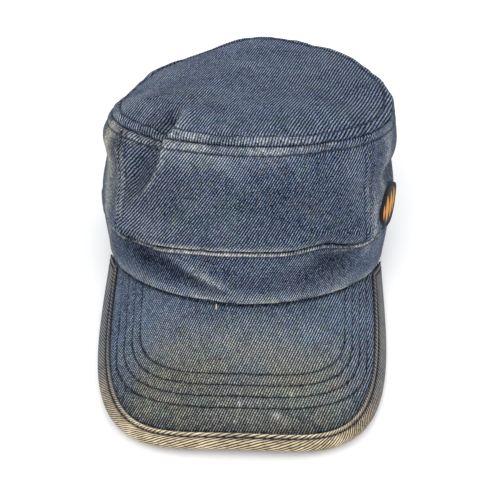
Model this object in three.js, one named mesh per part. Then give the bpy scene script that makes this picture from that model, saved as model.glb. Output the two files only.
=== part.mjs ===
// A work cap: a soft crown with a sloping flat top, a band round the head opening, and a stiff
// arched peak with a bound edge. It lies on the peak's two side edges and on the back of its band.
// Millimetres. The peak points to -Y, the wearer's left is +X, up is +Z and the floor is z = 0.
import * as THREE from "three";

// Thickness of each cloth, and the gap kept between two pieces that meet.
const CROWN_CLOTH = 1.6;
const BAND_CLOTH = 2.4;
const PEAK_BOARD = 2.4;
const BINDING_CLOTH = 1.1;
const PATCH_CLOTH = 1.0;
const GAP = 0.3;
const TOP_GAP = 0.5; // upright, where a wall panel meets the top panel's sloping edge

// The crown wall hangs between three loops. Each is an oval with its own front and back length,
// and it falls from the front to the back, the faster the higher its fall.
const LOOPS = {
  rim: { halfWidth: 88.5, middleY: 2, frontY: -97.5, backY: 99.5, square: 2.0 },
  bandSeam: {
    halfWidth: 91, middleY: 3, frontY: -85.5, backY: 104.5, square: 2.1,
    frontZ: 66, backZ: 22, fall: 2.8,
  },
  topSeam: {
    halfWidth: 87, middleY: 19, frontY: -69, backY: 115, square: 1.95,
    frontZ: 128.5, backZ: 71, fall: 1.6,
  },
};
const BAND_LEVEL = 0.3; // where the band seam lies, from 0 at the rim to 1 at the top seam
const BAND_SWELL = 0.6;
const WALL_SWELL = 2.0;
const SIDE_SEAM_ANGLE = 54; // degrees from the front, on both sides

// The peak is an arch: its crest falls forwards, and it drops from the crest to its sides.
const PEAK = {
  halfWidth: 87.2, rearY: -18.5, length: 159.8, square: 4.1,
  crestAtRim: 34.5, crestAtTip: 9.0, lowZ: 0.7, arch: 2.0,
  seamAngle: 72, endY: -32,
};
const PEAK_TUCK = 2.0; // how far the peak runs in under the band
const BINDING_WIDTH = 8.5;
const BINDING_MARGIN = 0.7; // clear of the band where the peak's edge runs in beside it

// The worn shape: where each seam has sunk or spread.
const SLUMPS = {
  bandSeam: [
    { angle: -38, spread: 16, out: 0, up: -1.8 },
    { angle: 28, spread: 9, out: 0, up: 4.2 },
    { angle: 48, spread: 7, out: 0, up: -1.5 },
  ],
  topSeam: [
    { angle: -125, spread: 38, out: -5, up: -7.5 },
    { angle: 130, spread: 38, out: 6, up: 2 },
    { angle: -90, spread: 18, out: -3.5, up: 0.6 },
    { angle: -108, spread: 18, out: -2.1, up: 0 },
    { angle: -126, spread: 18, out: 3.4, up: 2.7 },
    { angle: -144, spread: 18, out: 1.1, up: 1.1 },
    { angle: 180, spread: 18, out: 2.8, up: 3.1 },
    { angle: 160, spread: 18, out: 2.4, up: 0.3 },
    { angle: 140, spread: 18, out: 0.6, up: 2.0 },
    { angle: 100, spread: 18, out: -1.9, up: 4.4 },
  ],
};

// Folds and dents of the wall. Angle is in degrees from the front towards +X, turn is the fold's
// own direction in degrees up from level, and the rest is in millimetres.
const WALL_FOLDS = [
  { angle: -36, level: 0.82, turn: 60, halfLength: 19, halfWidth: 4.5, height: 2.4 },
  { angle: -42, level: 0.8, turn: 60, halfLength: 18, halfWidth: 5.0, height: -2.6 },
  { angle: -15, level: 0.16, turn: -25, halfLength: 24, halfWidth: 4.0, height: 1.9 },
  { angle: -21, level: 0.1, turn: -25, halfLength: 20, halfWidth: 6.0, height: -1.8 },
  { angle: -39, level: 0.22, turn: -10, halfLength: 14, halfWidth: 6.5, height: -2.4 },
  { angle: 37, level: 0.22, turn: 10, halfLength: 16, halfWidth: 6.5, height: -2.2 },
  { angle: 0, level: 0.37, turn: 0, halfLength: 65, halfWidth: 8.0, height: 1.4 },
  { angle: -50, level: 0.36, turn: 0, halfLength: 12, halfWidth: 8.0, height: 1.8 },
  { angle: 50, level: 0.37, turn: 0, halfLength: 12, halfWidth: 8.0, height: 1.8 },
  { angle: 32, level: 0.9, turn: 84, halfLength: 15, halfWidth: 4.5, height: -1.3 },
  { angle: -72, level: 0.67, turn: 0, halfLength: 32, halfWidth: 7.0, height: -0.9 },
  { angle: 75, level: 0.65, turn: 0, halfLength: 32, halfWidth: 7.0, height: -4.2 },
  { angle: -75, level: 0.87, turn: 0, halfLength: 42, halfWidth: 9.0, height: 3.2 },
  { angle: 78, level: 0.85, turn: 0, halfLength: 42, halfWidth: 10.0, height: 1.2 },
  { angle: 148, level: 0.62, turn: 75, halfLength: 24, halfWidth: 9.0, height: -2.4 },
  { angle: -156, level: 0.55, turn: 105, halfLength: 22, halfWidth: 10.0, height: -2.2 },
];

// Folds of the top panel, by place.
const TOP_FOLDS = [
  { x: -36, y: -42, turn: 74, halfLength: 20, halfWidth: 4.5, height: 2.0 },
  { x: -44, y: -40, turn: 74, halfLength: 19, halfWidth: 5.5, height: -2.4 },
  { x: 4, y: 26, turn: 80, halfLength: 48, halfWidth: 30, height: -3.0 },
  { x: -60, y: 52, turn: 40, halfLength: 26, halfWidth: 9, height: 1.6 },
  { x: 52, y: 58, turn: 130, halfLength: 30, halfWidth: 12, height: 1.6 },
];
const TOP_PUFF = 2.4;

// The patch on the left side, an oval that reaches down to the band seam.
const PATCH = { angle: 70.5, level: 0.44, halfWidth: 18, halfHeight: 13.5 };

// How finely each piece is divided. Every column round the crown is 4.5 degrees wide, so that the
// edges that meet at a seam have their corners in the same places.
const BAND_DIVISIONS = { around: 80, up: 4 };
const FRONT_DIVISIONS = { around: 24, up: 11 };
const SIDE_DIVISIONS = { around: 28, up: 8 };
const TOP_DIVISIONS = { around: 80, inward: 6 };
const PEAK_DIVISIONS = { along: 32, out: 8 };
const BINDING_DIVISIONS = 52;
const PATCH_DIVISIONS = { around: 20, inward: 3 };

// The box's centre is moved to the frame's origin.
const CENTRE_X = 1.0;
const CENTRE_Y = -29.2;

const signedPower = (value, power) => Math.sign(value) * Math.abs(value) ** power;
const radians = THREE.MathUtils.degToRad;
const bell = (value) => Math.exp(-value * value);

function planPoint(loop, angle) {
  const cosine = Math.cos(angle);
  const end = cosine > 0 ? loop.frontY : loop.backY;
  const x = loop.halfWidth * signedPower(Math.sin(angle), 2 / loop.square);
  const y = loop.middleY + (end - loop.middleY) * Math.abs(cosine) ** (2 / loop.square);
  return new THREE.Vector2(x, y);
}

function crestHeight(y) {
  const tipY = PEAK.rearY - PEAK.length;
  const fall = (PEAK.crestAtRim - PEAK.crestAtTip) / (LOOPS.rim.frontY - tipY);
  return PEAK.crestAtRim + fall * (y - LOOPS.rim.frontY);
}

function peakHeight(x, y) {
  const drop = Math.abs(x / PEAK.halfWidth) ** PEAK.arch;
  return PEAK.lowZ + (crestHeight(y) - PEAK.lowZ) * (1 - drop);
}

// The height of the band's lower edge: it follows the peak at the front and sinks to the floor.
function rimHeight(x, y, angle) {
  const turn = Math.abs(Math.atan2(Math.sin(angle), Math.cos(angle)));
  const seam = radians(PEAK.seamAngle);
  if (turn <= seam) return peakHeight(x, y) + GAP;
  const end = planPoint(LOOPS.rim, seam);
  const sink = 0.5 + 0.5 * Math.cos((Math.PI * (turn - seam)) / (Math.PI - seam));
  return Math.max(0, (peakHeight(end.x, end.y) + GAP + 0.15) * sink - 0.15);
}

function loopPoint(name, angle) {
  const loop = LOOPS[name];
  const { x, y } = planPoint(loop, angle);
  if (name === "rim") return new THREE.Vector3(x, y, rimHeight(x, y, angle));
  const ahead = Math.max(0, (loop.backY - y) / (loop.backY - loop.frontY));
  const height = loop.backZ + (loop.frontZ - loop.backZ) * ahead ** loop.fall;
  return slumped(new THREE.Vector3(x, y, height), angle, SLUMPS[name]);
}

function slumped(point, angle, slumps) {
  const outward = outwardAt(angle);
  for (const slump of slumps) {
    const away = THREE.MathUtils.euclideanModulo(angle - radians(slump.angle) + Math.PI, 2 * Math.PI);
    const share = bell((away - Math.PI) / radians(slump.spread));
    point.addScaledVector(outward, slump.out * share);
    point.z += slump.up * share;
  }
  return point;
}

function outwardAt(angle) {
  return new THREE.Vector3(Math.sin(angle), -Math.cos(angle), 0);
}

// How far the folds push the cloth at a place, given as millimetres from each fold's middle.
function foldHeight(folds, offsetFrom) {
  let height = 0;
  for (const fold of folds) {
    const [across, up] = offsetFrom(fold);
    const cosine = Math.cos(radians(fold.turn));
    const sine = Math.sin(radians(fold.turn));
    const along = (across * cosine + up * sine) / fold.halfLength;
    const beside = (up * cosine - across * sine) / fold.halfWidth;
    height += fold.height * bell(along) * bell(beside);
  }
  return height;
}

// A point on the outside of the crown wall or the band.
function wallPoint(angle, level) {
  const onBand = level <= BAND_LEVEL;
  const share = onBand ? level / BAND_LEVEL : (level - BAND_LEVEL) / (1 - BAND_LEVEL);
  const low = loopPoint(onBand ? "rim" : "bandSeam", angle);
  const high = loopPoint(onBand ? "bandSeam" : "topSeam", angle);
  const bandHeight = onBand ? low.distanceTo(high) : loopPoint("rim", angle).distanceTo(low);
  const wallHeight = onBand ? high.distanceTo(loopPoint("topSeam", angle)) : low.distanceTo(high);
  const climb = (at) =>
    Math.min(at, BAND_LEVEL) / BAND_LEVEL * bandHeight +
    Math.max(at - BAND_LEVEL, 0) / (1 - BAND_LEVEL) * wallHeight;
  const swell = (onBand ? BAND_SWELL : WALL_SWELL) * (1 - Math.abs(2 * share - 1) ** 3);
  const point = low.lerp(high, share);
  const radius = Math.hypot(point.x, point.y - LOOPS.bandSeam.middleY);
  const push = foldHeight(WALL_FOLDS, (fold) => {
    const away = THREE.MathUtils.euclideanModulo(angle - radians(fold.angle) + Math.PI, 2 * Math.PI);
    return [(away - Math.PI) * radius, climb(level) - climb(fold.level)];
  });
  return point.addScaledVector(outwardAt(angle), swell + push);
}

// A point on the outside of the top panel, from the seam at reach 1 to its middle at reach 0.
function topPoint(angle, reach) {
  const seam = LOOPS.topSeam;
  const edge = wallPoint(angle, 1);
  const tilt = (seam.backZ - seam.frontZ) / (seam.backY - seam.frontY);
  const planeAt = (y) => seam.frontZ + tilt * (y - seam.frontY);
  const x = edge.x * reach;
  const y = seam.middleY + (edge.y - seam.middleY) * reach;
  const height = planeAt(y) + (edge.z - planeAt(edge.y)) * reach ** 2 + TOP_PUFF * (1 - reach ** 4);
  const push = foldHeight(TOP_FOLDS, (fold) => [x - fold.x, y - fold.y]);
  return new THREE.Vector3(x, y, height + push * Math.min(1, 4 * (1 - reach ** 4)));
}

// A closed solid between two grids of points with the same rows and columns. Rows climb and
// columns run to the right, seen from outside. Faces with two corners in one place are left out.
function shellBetween(outer, inner, closesRound) {
  const columns = outer[0].length;
  const isPoint = (row) => row[0].distanceTo(row[1]) < 1e-6;
  const idAt = (r, c) => r * columns + (isPoint(outer[r]) ? 0 : c % columns);
  const skin = [];
  for (let r = 0; r + 1 < outer.length; r++) {
    for (let c = 0; c < (closesRound ? columns : columns - 1); c++) {
      const corners = [idAt(r, c), idAt(r, c + 1), idAt(r + 1, c + 1), idAt(r + 1, c)];
      skin.push([corners[0], corners[1], corners[2]], [corners[0], corners[2], corners[3]]);
    }
  }
  const faces = skin.filter(([a, b, c]) => a !== b && b !== c && c !== a);
  const edges = new Map();
  for (const [a, b, c] of faces) {
    for (const [from, to] of [[a, b], [b, c], [c, a]]) edges.set(`${from} ${to}`, [from, to]);
  }
  const depth = outer.length * columns;
  const index = [];
  for (const [a, b, c] of faces) index.push(a, b, c, c + depth, b + depth, a + depth);
  for (const [from, to] of edges.values()) {
    if (edges.has(`${to} ${from}`)) continue;
    index.push(to, from, from + depth, to, from + depth, to + depth);
  }
  const points = [...outer.flat(), ...inner.flat()];
  const moved = points.map((point) => [point.x - CENTRE_X, point.y - CENTRE_Y, Math.max(0, point.z)]);
  const geometry = new THREE.BufferGeometry();
  geometry.setAttribute("position", new THREE.Float32BufferAttribute(moved.flat(), 3));
  geometry.setIndex(index);
  geometry.computeVertexNormals();
  return geometry;
}

const steps = (count) => Array.from({ length: count + 1 }, (_, step) => step / count);
const mix = THREE.MathUtils.lerp;

// A piece of the crown wall between two angles. Its upper edge stays below the top panel.
function wallPanel(fromAngle, toAngle, divisions) {
  const seamGap = GAP / 2 / LOOPS.bandSeam.halfWidth;
  const angles = steps(divisions.around).map((share) =>
    mix(radians(fromAngle) + seamGap, radians(toAngle) - seamGap, share));
  const outer = [];
  const inner = [];
  for (const share of steps(divisions.up)) {
    const level = mix(BAND_LEVEL, 1, share);
    outer.push(angles.map((angle) => panelPoint(angle, level, 0)));
    inner.push(angles.map((angle) => panelPoint(angle, level, CROWN_CLOTH)));
  }
  return shellBetween(outer, inner, false);
}

function panelPoint(angle, level, inset) {
  const point = wallPoint(angle, level);
  const radius = Math.hypot(point.x, point.y - LOOPS.topSeam.middleY);
  if (level === 1) {
    const under = topPoint(angle, 1 - inset / radius);
    return under.setZ(under.z - CROWN_CLOTH - TOP_GAP);
  }
  point.addScaledVector(outwardAt(angle), -inset);
  if (level === BAND_LEVEL) point.z += GAP;
  return point;
}

function bandRing() {
  const angles = steps(BAND_DIVISIONS.around).slice(0, -1).map((share) => (share - 0.5) * 2 * Math.PI);
  const row = (share, inset) => angles.map((angle) => {
    const point = wallPoint(angle, BAND_LEVEL * share).addScaledVector(outwardAt(angle), -inset);
    return share === 0 ? point.setZ(rimHeight(point.x, point.y, angle)) : point;
  });
  const shares = steps(BAND_DIVISIONS.up);
  return shellBetween(shares.map((s) => row(s, 0)), shares.map((s) => row(s, BAND_CLOTH)), true);
}

function topPanel() {
  const angles = steps(TOP_DIVISIONS.around).slice(0, -1).map((share) => (share - 0.5) * 2 * Math.PI);
  const outer = steps(TOP_DIVISIONS.inward).map((share) =>
    angles.map((angle) => topPoint(angle, 1 - share)));
  const inner = outer.map((row) => row.map((p) => new THREE.Vector3(p.x, p.y, p.z - CROWN_CLOTH)));
  return shellBetween(outer, inner, true);
}

// The peak's outline in plan, as evenly spaced points from the right end to the left end.
function peakOutline(count) {
  const fine = steps(2000).map((share) => {
    const angle = mix(-Math.PI / 2, Math.PI / 2, share);
    const x = PEAK.halfWidth * signedPower(Math.sin(angle), 2 / PEAK.square);
    return new THREE.Vector2(x, PEAK.rearY - PEAK.length * Math.cos(angle) ** (2 / PEAK.square));
  }).filter((point) => point.y <= PEAK.endY);
  const travelled = [0];
  for (let k = 1; k < fine.length; k++) {
    travelled.push(travelled[k - 1] + fine[k].distanceTo(fine[k - 1]));
  }
  return steps(count).map((share) => {
    const want = share * travelled.at(-1);
    const after = Math.max(1, travelled.findIndex((length) => length >= want));
    const part = (want - travelled[after - 1]) / (travelled[after] - travelled[after - 1]);
    return fine[after - 1].clone().lerp(fine[after], part);
  });
}

// The outward direction in plan at each point of an outline.
function outlineOutward(outline) {
  return outline.map((_, k) => {
    const before = outline[Math.max(k - 1, 0)];
    const after = outline[Math.min(k + 1, outline.length - 1)];
    const along = after.clone().sub(before).normalize();
    return new THREE.Vector2(along.y, -along.x);
  });
}

function peakNormal(x, y) {
  const step = 0.5;
  const slopeX = (peakHeight(x + step, y) - peakHeight(x - step, y)) / (2 * step);
  const slopeY = (peakHeight(x, y + step) - peakHeight(x, y - step)) / (2 * step);
  return new THREE.Vector3(-slopeX, -slopeY, 1).normalize();
}

function onPeak(place, above) {
  const surface = new THREE.Vector3(place.x, place.y, peakHeight(place.x, place.y));
  return surface.addScaledVector(peakNormal(place.x, place.y), above);
}

const NOSE_RADIUS = PEAK_BOARD / 2 + GAP + BINDING_CLOTH;

function peakBoard() {
  const outline = peakOutline(PEAK_DIVISIONS.along);
  const outward = outlineOutward(outline);
  const seam = radians(PEAK.seamAngle) - 0.004;
  const rear = steps(PEAK_DIVISIONS.along).map((share) => {
    const angle = mix(-seam, seam, share);
    const inward = outwardAt(angle);
    return planPoint(LOOPS.rim, angle).sub(new THREE.Vector2(inward.x, inward.y).multiplyScalar(PEAK_TUCK));
  });
  const front = outline.map((place, k) => place.clone().addScaledVector(outward[k], -NOSE_RADIUS));
  const rows = steps(PEAK_DIVISIONS.out).map((share) =>
    front.map((place, k) => place.clone().lerp(rear[k], share)));
  const upper = rows.map((row) => row.map((place) => onPeak(place, 0)));
  const under = rows.map((row) => row.map((place) => onPeak(place, -PEAK_BOARD)));
  return shellBetween(upper, under, false);
}

// How wide the binding can be at a point of the outline before it meets the band.
function bindingWidth(place, outward) {
  const rim = LOOPS.rim;
  const inBand = (inset) => {
    const x = place.x - outward.x * inset;
    const y = place.y - outward.y * inset;
    return Math.hypot(x / rim.halfWidth, (y - rim.middleY) / (rim.frontY - rim.middleY)) < 1;
  };
  let inset = 0;
  while (inset < BINDING_WIDTH + BINDING_MARGIN && !inBand(inset)) inset += 0.05;
  return inset - BINDING_MARGIN;
}

// One row of the binding for each step round its profile: from under the peak, round its nose and
// back above it. The outer and the inner side differ only in the radius.
function bindingRows(radius) {
  const outline = peakOutline(BINDING_DIVISIONS);
  const outward = outlineOutward(outline);
  const widths = outline.map((place, k) => bindingWidth(place, outward[k]));
  const inset = (k, amount) => outline[k].clone().addScaledVector(outward[k], -amount);
  const flat = (amountAt, side) => outline.map((_, k) =>
    onPeak(inset(k, amountAt(k)), side * radius - PEAK_BOARD / 2));
  const nose = (turn) => outline.map((_, k) => {
    const place = inset(k, NOSE_RADIUS);
    const centre = onPeak(place, -PEAK_BOARD / 2);
    const normal = peakNormal(place.x, place.y);
    const out = new THREE.Vector3(outward[k].x, outward[k].y, 0);
    out.addScaledVector(normal, -out.dot(normal)).normalize();
    return centre.addScaledVector(normal, radius * Math.sin(turn)).addScaledVector(out, radius * Math.cos(turn));
  });
  const edge = (k) => widths[k];
  return [
    flat(edge, -1), nose(radians(-90)), nose(radians(-45)), nose(0), nose(radians(45)),
    nose(radians(90)), flat(edge, 1),
  ];
}

function peakBinding() {
  return shellBetween(bindingRows(NOSE_RADIUS), bindingRows(NOSE_RADIUS - BINDING_CLOTH), false);
}

// The patch lies on the wall, a gap clear of it.
function sidePatch() {
  const middle = radians(PATCH.angle);
  const perLevel = loopPoint("topSeam", middle).z - loopPoint("rim", middle).z;
  const place = (turn, reach, above) => {
    const angle = middle + (PATCH.halfWidth * reach * Math.cos(turn)) / LOOPS.bandSeam.halfWidth;
    const level = PATCH.level + (PATCH.halfHeight * reach * Math.sin(turn)) / perLevel;
    return wallPoint(angle, level).addScaledVector(outwardAt(angle), above);
  };
  const turns = steps(PATCH_DIVISIONS.around).slice(0, -1).map((share) => share * 2 * Math.PI);
  const rows = (above) => steps(PATCH_DIVISIONS.inward).map((share) =>
    turns.map((turn) => place(turn, 1 - share, above)));
  return shellBetween(rows(GAP + PATCH_CLOTH), rows(GAP), true);
}

function named(name, geometry, colour, roughness) {
  const material = new THREE.MeshStandardMaterial({ color: colour, roughness, metalness: 0 });
  const mesh = new THREE.Mesh(geometry, material);
  mesh.name = name;
  return mesh;
}

const DENIM = 0x66748c;
const PEAK_DENIM = 0x6b7583;
const WORN_EDGE = 0xa39c8c;
const PATCH_BLACK = 0x1e2020;

const cap = new THREE.Group();
cap.name = "work_cap";
cap.add(
  named("band", bandRing(), DENIM, 0.9),
  named("front_panel", wallPanel(-SIDE_SEAM_ANGLE, SIDE_SEAM_ANGLE, FRONT_DIVISIONS), DENIM, 0.9),
  named("side_panel_left", wallPanel(SIDE_SEAM_ANGLE, 180, SIDE_DIVISIONS), DENIM, 0.9),
  named("side_panel_right", wallPanel(-180, -SIDE_SEAM_ANGLE, SIDE_DIVISIONS), DENIM, 0.9),
  named("crown_top", topPanel(), DENIM, 0.9),
  named("peak", peakBoard(), PEAK_DENIM, 0.9),
  named("peak_binding", peakBinding(), WORN_EDGE, 0.9),
  named("side_patch", sidePatch(), PATCH_BLACK, 0.75),
);

export default cap;
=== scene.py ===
"""A worn denim work cap: a sloping flat crown, a band, an arched peak with a bound edge, a patch.

Sizes are in millimetres and turn into metres where a mesh is made. The peak points to -Y, the
wearer's left is +X and the floor is z = 0. Angles round the crown start at the front and grow
towards +X. A piece of cloth is a grid of points: its rows climb and its columns run to the right,
seen from outside.
"""
import logging
import math
from collections.abc import Sequence
from dataclasses import dataclass, field
from enum import Enum

import bpy
import numpy as np
from mathutils import Matrix, Vector


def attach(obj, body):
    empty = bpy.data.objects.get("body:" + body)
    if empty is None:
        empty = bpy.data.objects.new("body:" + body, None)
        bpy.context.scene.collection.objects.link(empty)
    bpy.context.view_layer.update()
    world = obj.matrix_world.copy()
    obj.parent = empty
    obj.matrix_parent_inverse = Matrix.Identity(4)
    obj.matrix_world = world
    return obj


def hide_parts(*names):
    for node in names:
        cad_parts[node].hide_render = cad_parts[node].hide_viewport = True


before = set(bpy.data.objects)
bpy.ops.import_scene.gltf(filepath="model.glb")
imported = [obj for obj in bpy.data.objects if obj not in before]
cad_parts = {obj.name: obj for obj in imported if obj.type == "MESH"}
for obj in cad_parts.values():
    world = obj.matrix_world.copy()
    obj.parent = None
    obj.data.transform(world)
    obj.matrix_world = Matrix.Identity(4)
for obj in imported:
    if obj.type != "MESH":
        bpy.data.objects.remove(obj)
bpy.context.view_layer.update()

log = logging.getLogger("work_cap")

MM = 0.001
BODY = "root"
BOX_CENTRE = np.array([1.0, -29.2, 0.0])  # of the whole cap, from the middle of the head opening
UP = np.array([0.0, 0.0, 1.0])

CROWN_CLOTH = 1.6
BAND_CLOTH = 2.4
PEAK_BOARD = 2.4
BINDING_CLOTH = 1.1
PATCH_CLOTH = 1.0
GAP = 0.3
LEAST_CLOTH = 0.3


def bell(value: np.ndarray) -> np.ndarray:
    """A hump that is 1 at 0 and gone at about 2."""
    return np.exp(-np.square(value))


def ease(value: np.ndarray, start: float, end: float) -> np.ndarray:
    """Goes smoothly from 0 at start to 1 at end."""
    share = np.clip((value - start) / (end - start), 0.0, 1.0)
    return share * share * (3.0 - 2.0 * share)


def signed_power(value: np.ndarray, power: float) -> np.ndarray:
    """A power of the size of a number that keeps its sign."""
    return np.sign(value) * np.abs(value) ** power


def half_turn(angle: np.ndarray) -> np.ndarray:
    """The same direction as an angle from minus to plus half a turn."""
    return np.mod(angle + np.pi, 2.0 * np.pi) - np.pi


def unit(vectors: np.ndarray) -> np.ndarray:
    """The vectors at length 1."""
    return vectors / np.maximum(np.linalg.norm(vectors, axis=-1, keepdims=True), 1e-9)


def outward(angle: np.ndarray) -> np.ndarray:
    """The level direction away from the crown's middle at an angle."""
    return np.stack([np.sin(angle), -np.cos(angle), np.zeros_like(angle)], axis=-1)


def travelled(points: np.ndarray, axis: int) -> np.ndarray:
    """How far it is along a grid's rows or columns to each of its points.

    Args:
        points: A grid of points.
        axis: 0 to travel up the rows, 1 to travel along the columns.

    Returns:
        The length from the first row or column, in millimetres.
    """
    lengths = np.linalg.norm(np.diff(points, axis=axis), axis=-1)
    first = np.zeros_like(np.take(lengths, [0], axis=axis))
    return np.concatenate([first, np.cumsum(lengths, axis=axis)], axis=axis)


def graded(length: float, coarse: float, fine: float, start: float, end: float) -> np.ndarray:
    """Shares from 0 to 1 that lie closer together near the ends.

    Args:
        length: The whole length in millimetres.
        coarse: The step in the middle.
        fine: The step near the ends.
        start: How far the fine steps reach from the start.
        end: How far they reach from the end.

    Returns:
        The shares, 0 and 1 among them.
    """
    stretches = ((start, fine), (length - start - end, coarse), (end, fine))
    steps = np.concatenate([
        np.full(round(stretch / step), stretch / max(round(stretch / step), 1))
        for stretch, step in stretches if stretch > 0
    ])
    return np.concatenate([[0.0], np.cumsum(steps) / np.sum(steps)])


def in_frame(points: np.ndarray) -> np.ndarray:
    """Points in metres and in the cap's frame, for ones in millimetres from the head opening."""
    return (points - BOX_CENTRE) * MM


def new_object(name: str, data: bpy.types.ID) -> bpy.types.Object:
    """Puts something in the scene as an object.

    Args:
        name: The object's name.
        data: What it shows: a mesh, a camera or a light.

    Returns:
        The new object.
    """
    made = bpy.data.objects.new(name, data)
    bpy.context.scene.collection.objects.link(made)
    return made


class Cloud:
    """Smooth random numbers in space, the same in each run."""

    LATTICE = 32

    def __init__(self, size: float, seed: int) -> None:
        """Makes the numbers.

        Args:
            size: How far apart two random values lie, in millimetres.
            seed: Which set of numbers this is.
        """
        self.size = size
        shape = (self.LATTICE,) * 3
        self.values = np.random.default_rng(seed).uniform(-1.0, 1.0, shape)

    def at(self, points: np.ndarray) -> np.ndarray:
        """Reads the numbers.

        Args:
            points: Some points, in millimetres.

        Returns:
            The number at each point, from -1 to 1.
        """
        scaled = points / self.size
        low = np.floor(scaled).astype(int)
        part = scaled - low
        part = part * part * (3.0 - 2.0 * part)
        total = np.zeros(points.shape[:-1])
        for corner in np.ndindex(2, 2, 2):
            weight = np.prod(np.where(corner, part, 1.0 - part), axis=-1)
            total += weight * self.values[tuple(np.moveaxis((low + corner) % self.LATTICE, -1, 0))]
        return total


BROAD = Cloud(38.0, 11)
SOFT = Cloud(13.0, 12)
PUCKERS = Cloud(6.0, 13)
SPECKS = Cloud(2.2, 14)


@dataclass(frozen=True)
class Loop:
    """An oval round the crown with its own front and back length, which falls to the back."""

    half_width: float
    middle_y: float
    front_y: float
    back_y: float
    square: float
    front_z: float = 0.0
    back_z: float = 0.0
    fall: float = 1.0

    def plan(self, angle: np.ndarray) -> tuple[np.ndarray, np.ndarray]:
        """The oval seen from above.

        Args:
            angle: Angles round the crown.

        Returns:
            The x and the y of the oval at each angle.
        """
        cosine = np.cos(angle)
        end = np.where(cosine > 0.0, self.front_y, self.back_y)
        x = self.half_width * signed_power(np.sin(angle), 2.0 / self.square)
        return x, self.middle_y + (end - self.middle_y) * np.abs(cosine) ** (2.0 / self.square)

    def hung(self, angle: np.ndarray) -> np.ndarray:
        """The oval in space.

        Args:
            angle: Angles round the crown.

        Returns:
            The oval's points, each at the height to which it falls there.
        """
        x, y = self.plan(angle)
        ahead = np.maximum(0.0, (self.back_y - y) / (self.back_y - self.front_y))
        return np.stack([x, y, self.back_z + (self.front_z - self.back_z) * ahead**self.fall], axis=-1)


@dataclass(frozen=True)
class Slump:
    """Where a seam has sunk or spread: its angle and spread in degrees, how far out and up."""

    angle: float
    spread: float
    out: float
    up: float

    def moved(self, points: np.ndarray, angle: np.ndarray) -> np.ndarray:
        """The seam's points where they have gone."""
        share = bell(half_turn(angle - math.radians(self.angle)) / math.radians(self.spread))[..., None]
        return points + (self.out * outward(angle) + self.up * UP) * share


class Mark(Enum):
    """What a finish reads at each point of the cloth."""

    WEAR = "wear"
    FADE = "fade"
    # Painted shade in seam gaps, sunk rows, fold hollows and under overhangs, and some broad darker patches;
    # on the patch it only keeps the motif off the border.
    SHADE = "shade"
    SOIL = "soil"
    INSIDE = "inside"


Marks = dict[Mark, np.ndarray]


@dataclass(frozen=True)
class Spot:
    """A stretch of cloth: its place, its turn up from level in degrees, and its size."""

    place: tuple[float, float]
    turn: float
    half_length: float
    half_width: float

    def share(self, across: np.ndarray, up: np.ndarray) -> np.ndarray:
        """How much of the spot there is at a place.

        Args:
            across: How far the place lies beside the spot's middle, in millimetres.
            up: How far it lies above that.

        Returns:
            The share, 1 at the middle.
        """
        cosine, sine = math.cos(math.radians(self.turn)), math.sin(math.radians(self.turn))
        along = (across * cosine + up * sine) / self.half_length
        beside = (up * cosine - across * sine) / self.half_width
        return bell(along) * bell(beside)

    def there(self, x: np.ndarray, y: np.ndarray) -> np.ndarray:
        """How much of the spot there is at an x and y."""
        return self.share(x - self.place[0], y - self.place[1])


@dataclass(frozen=True)
class Fold(Spot):
    """A spot where the cloth stands out, or is sunk."""

    height: float


@dataclass(frozen=True)
class Tone(Spot):
    """A spot where the cloth carries more of a mark."""

    mark: Mark
    amount: float


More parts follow.
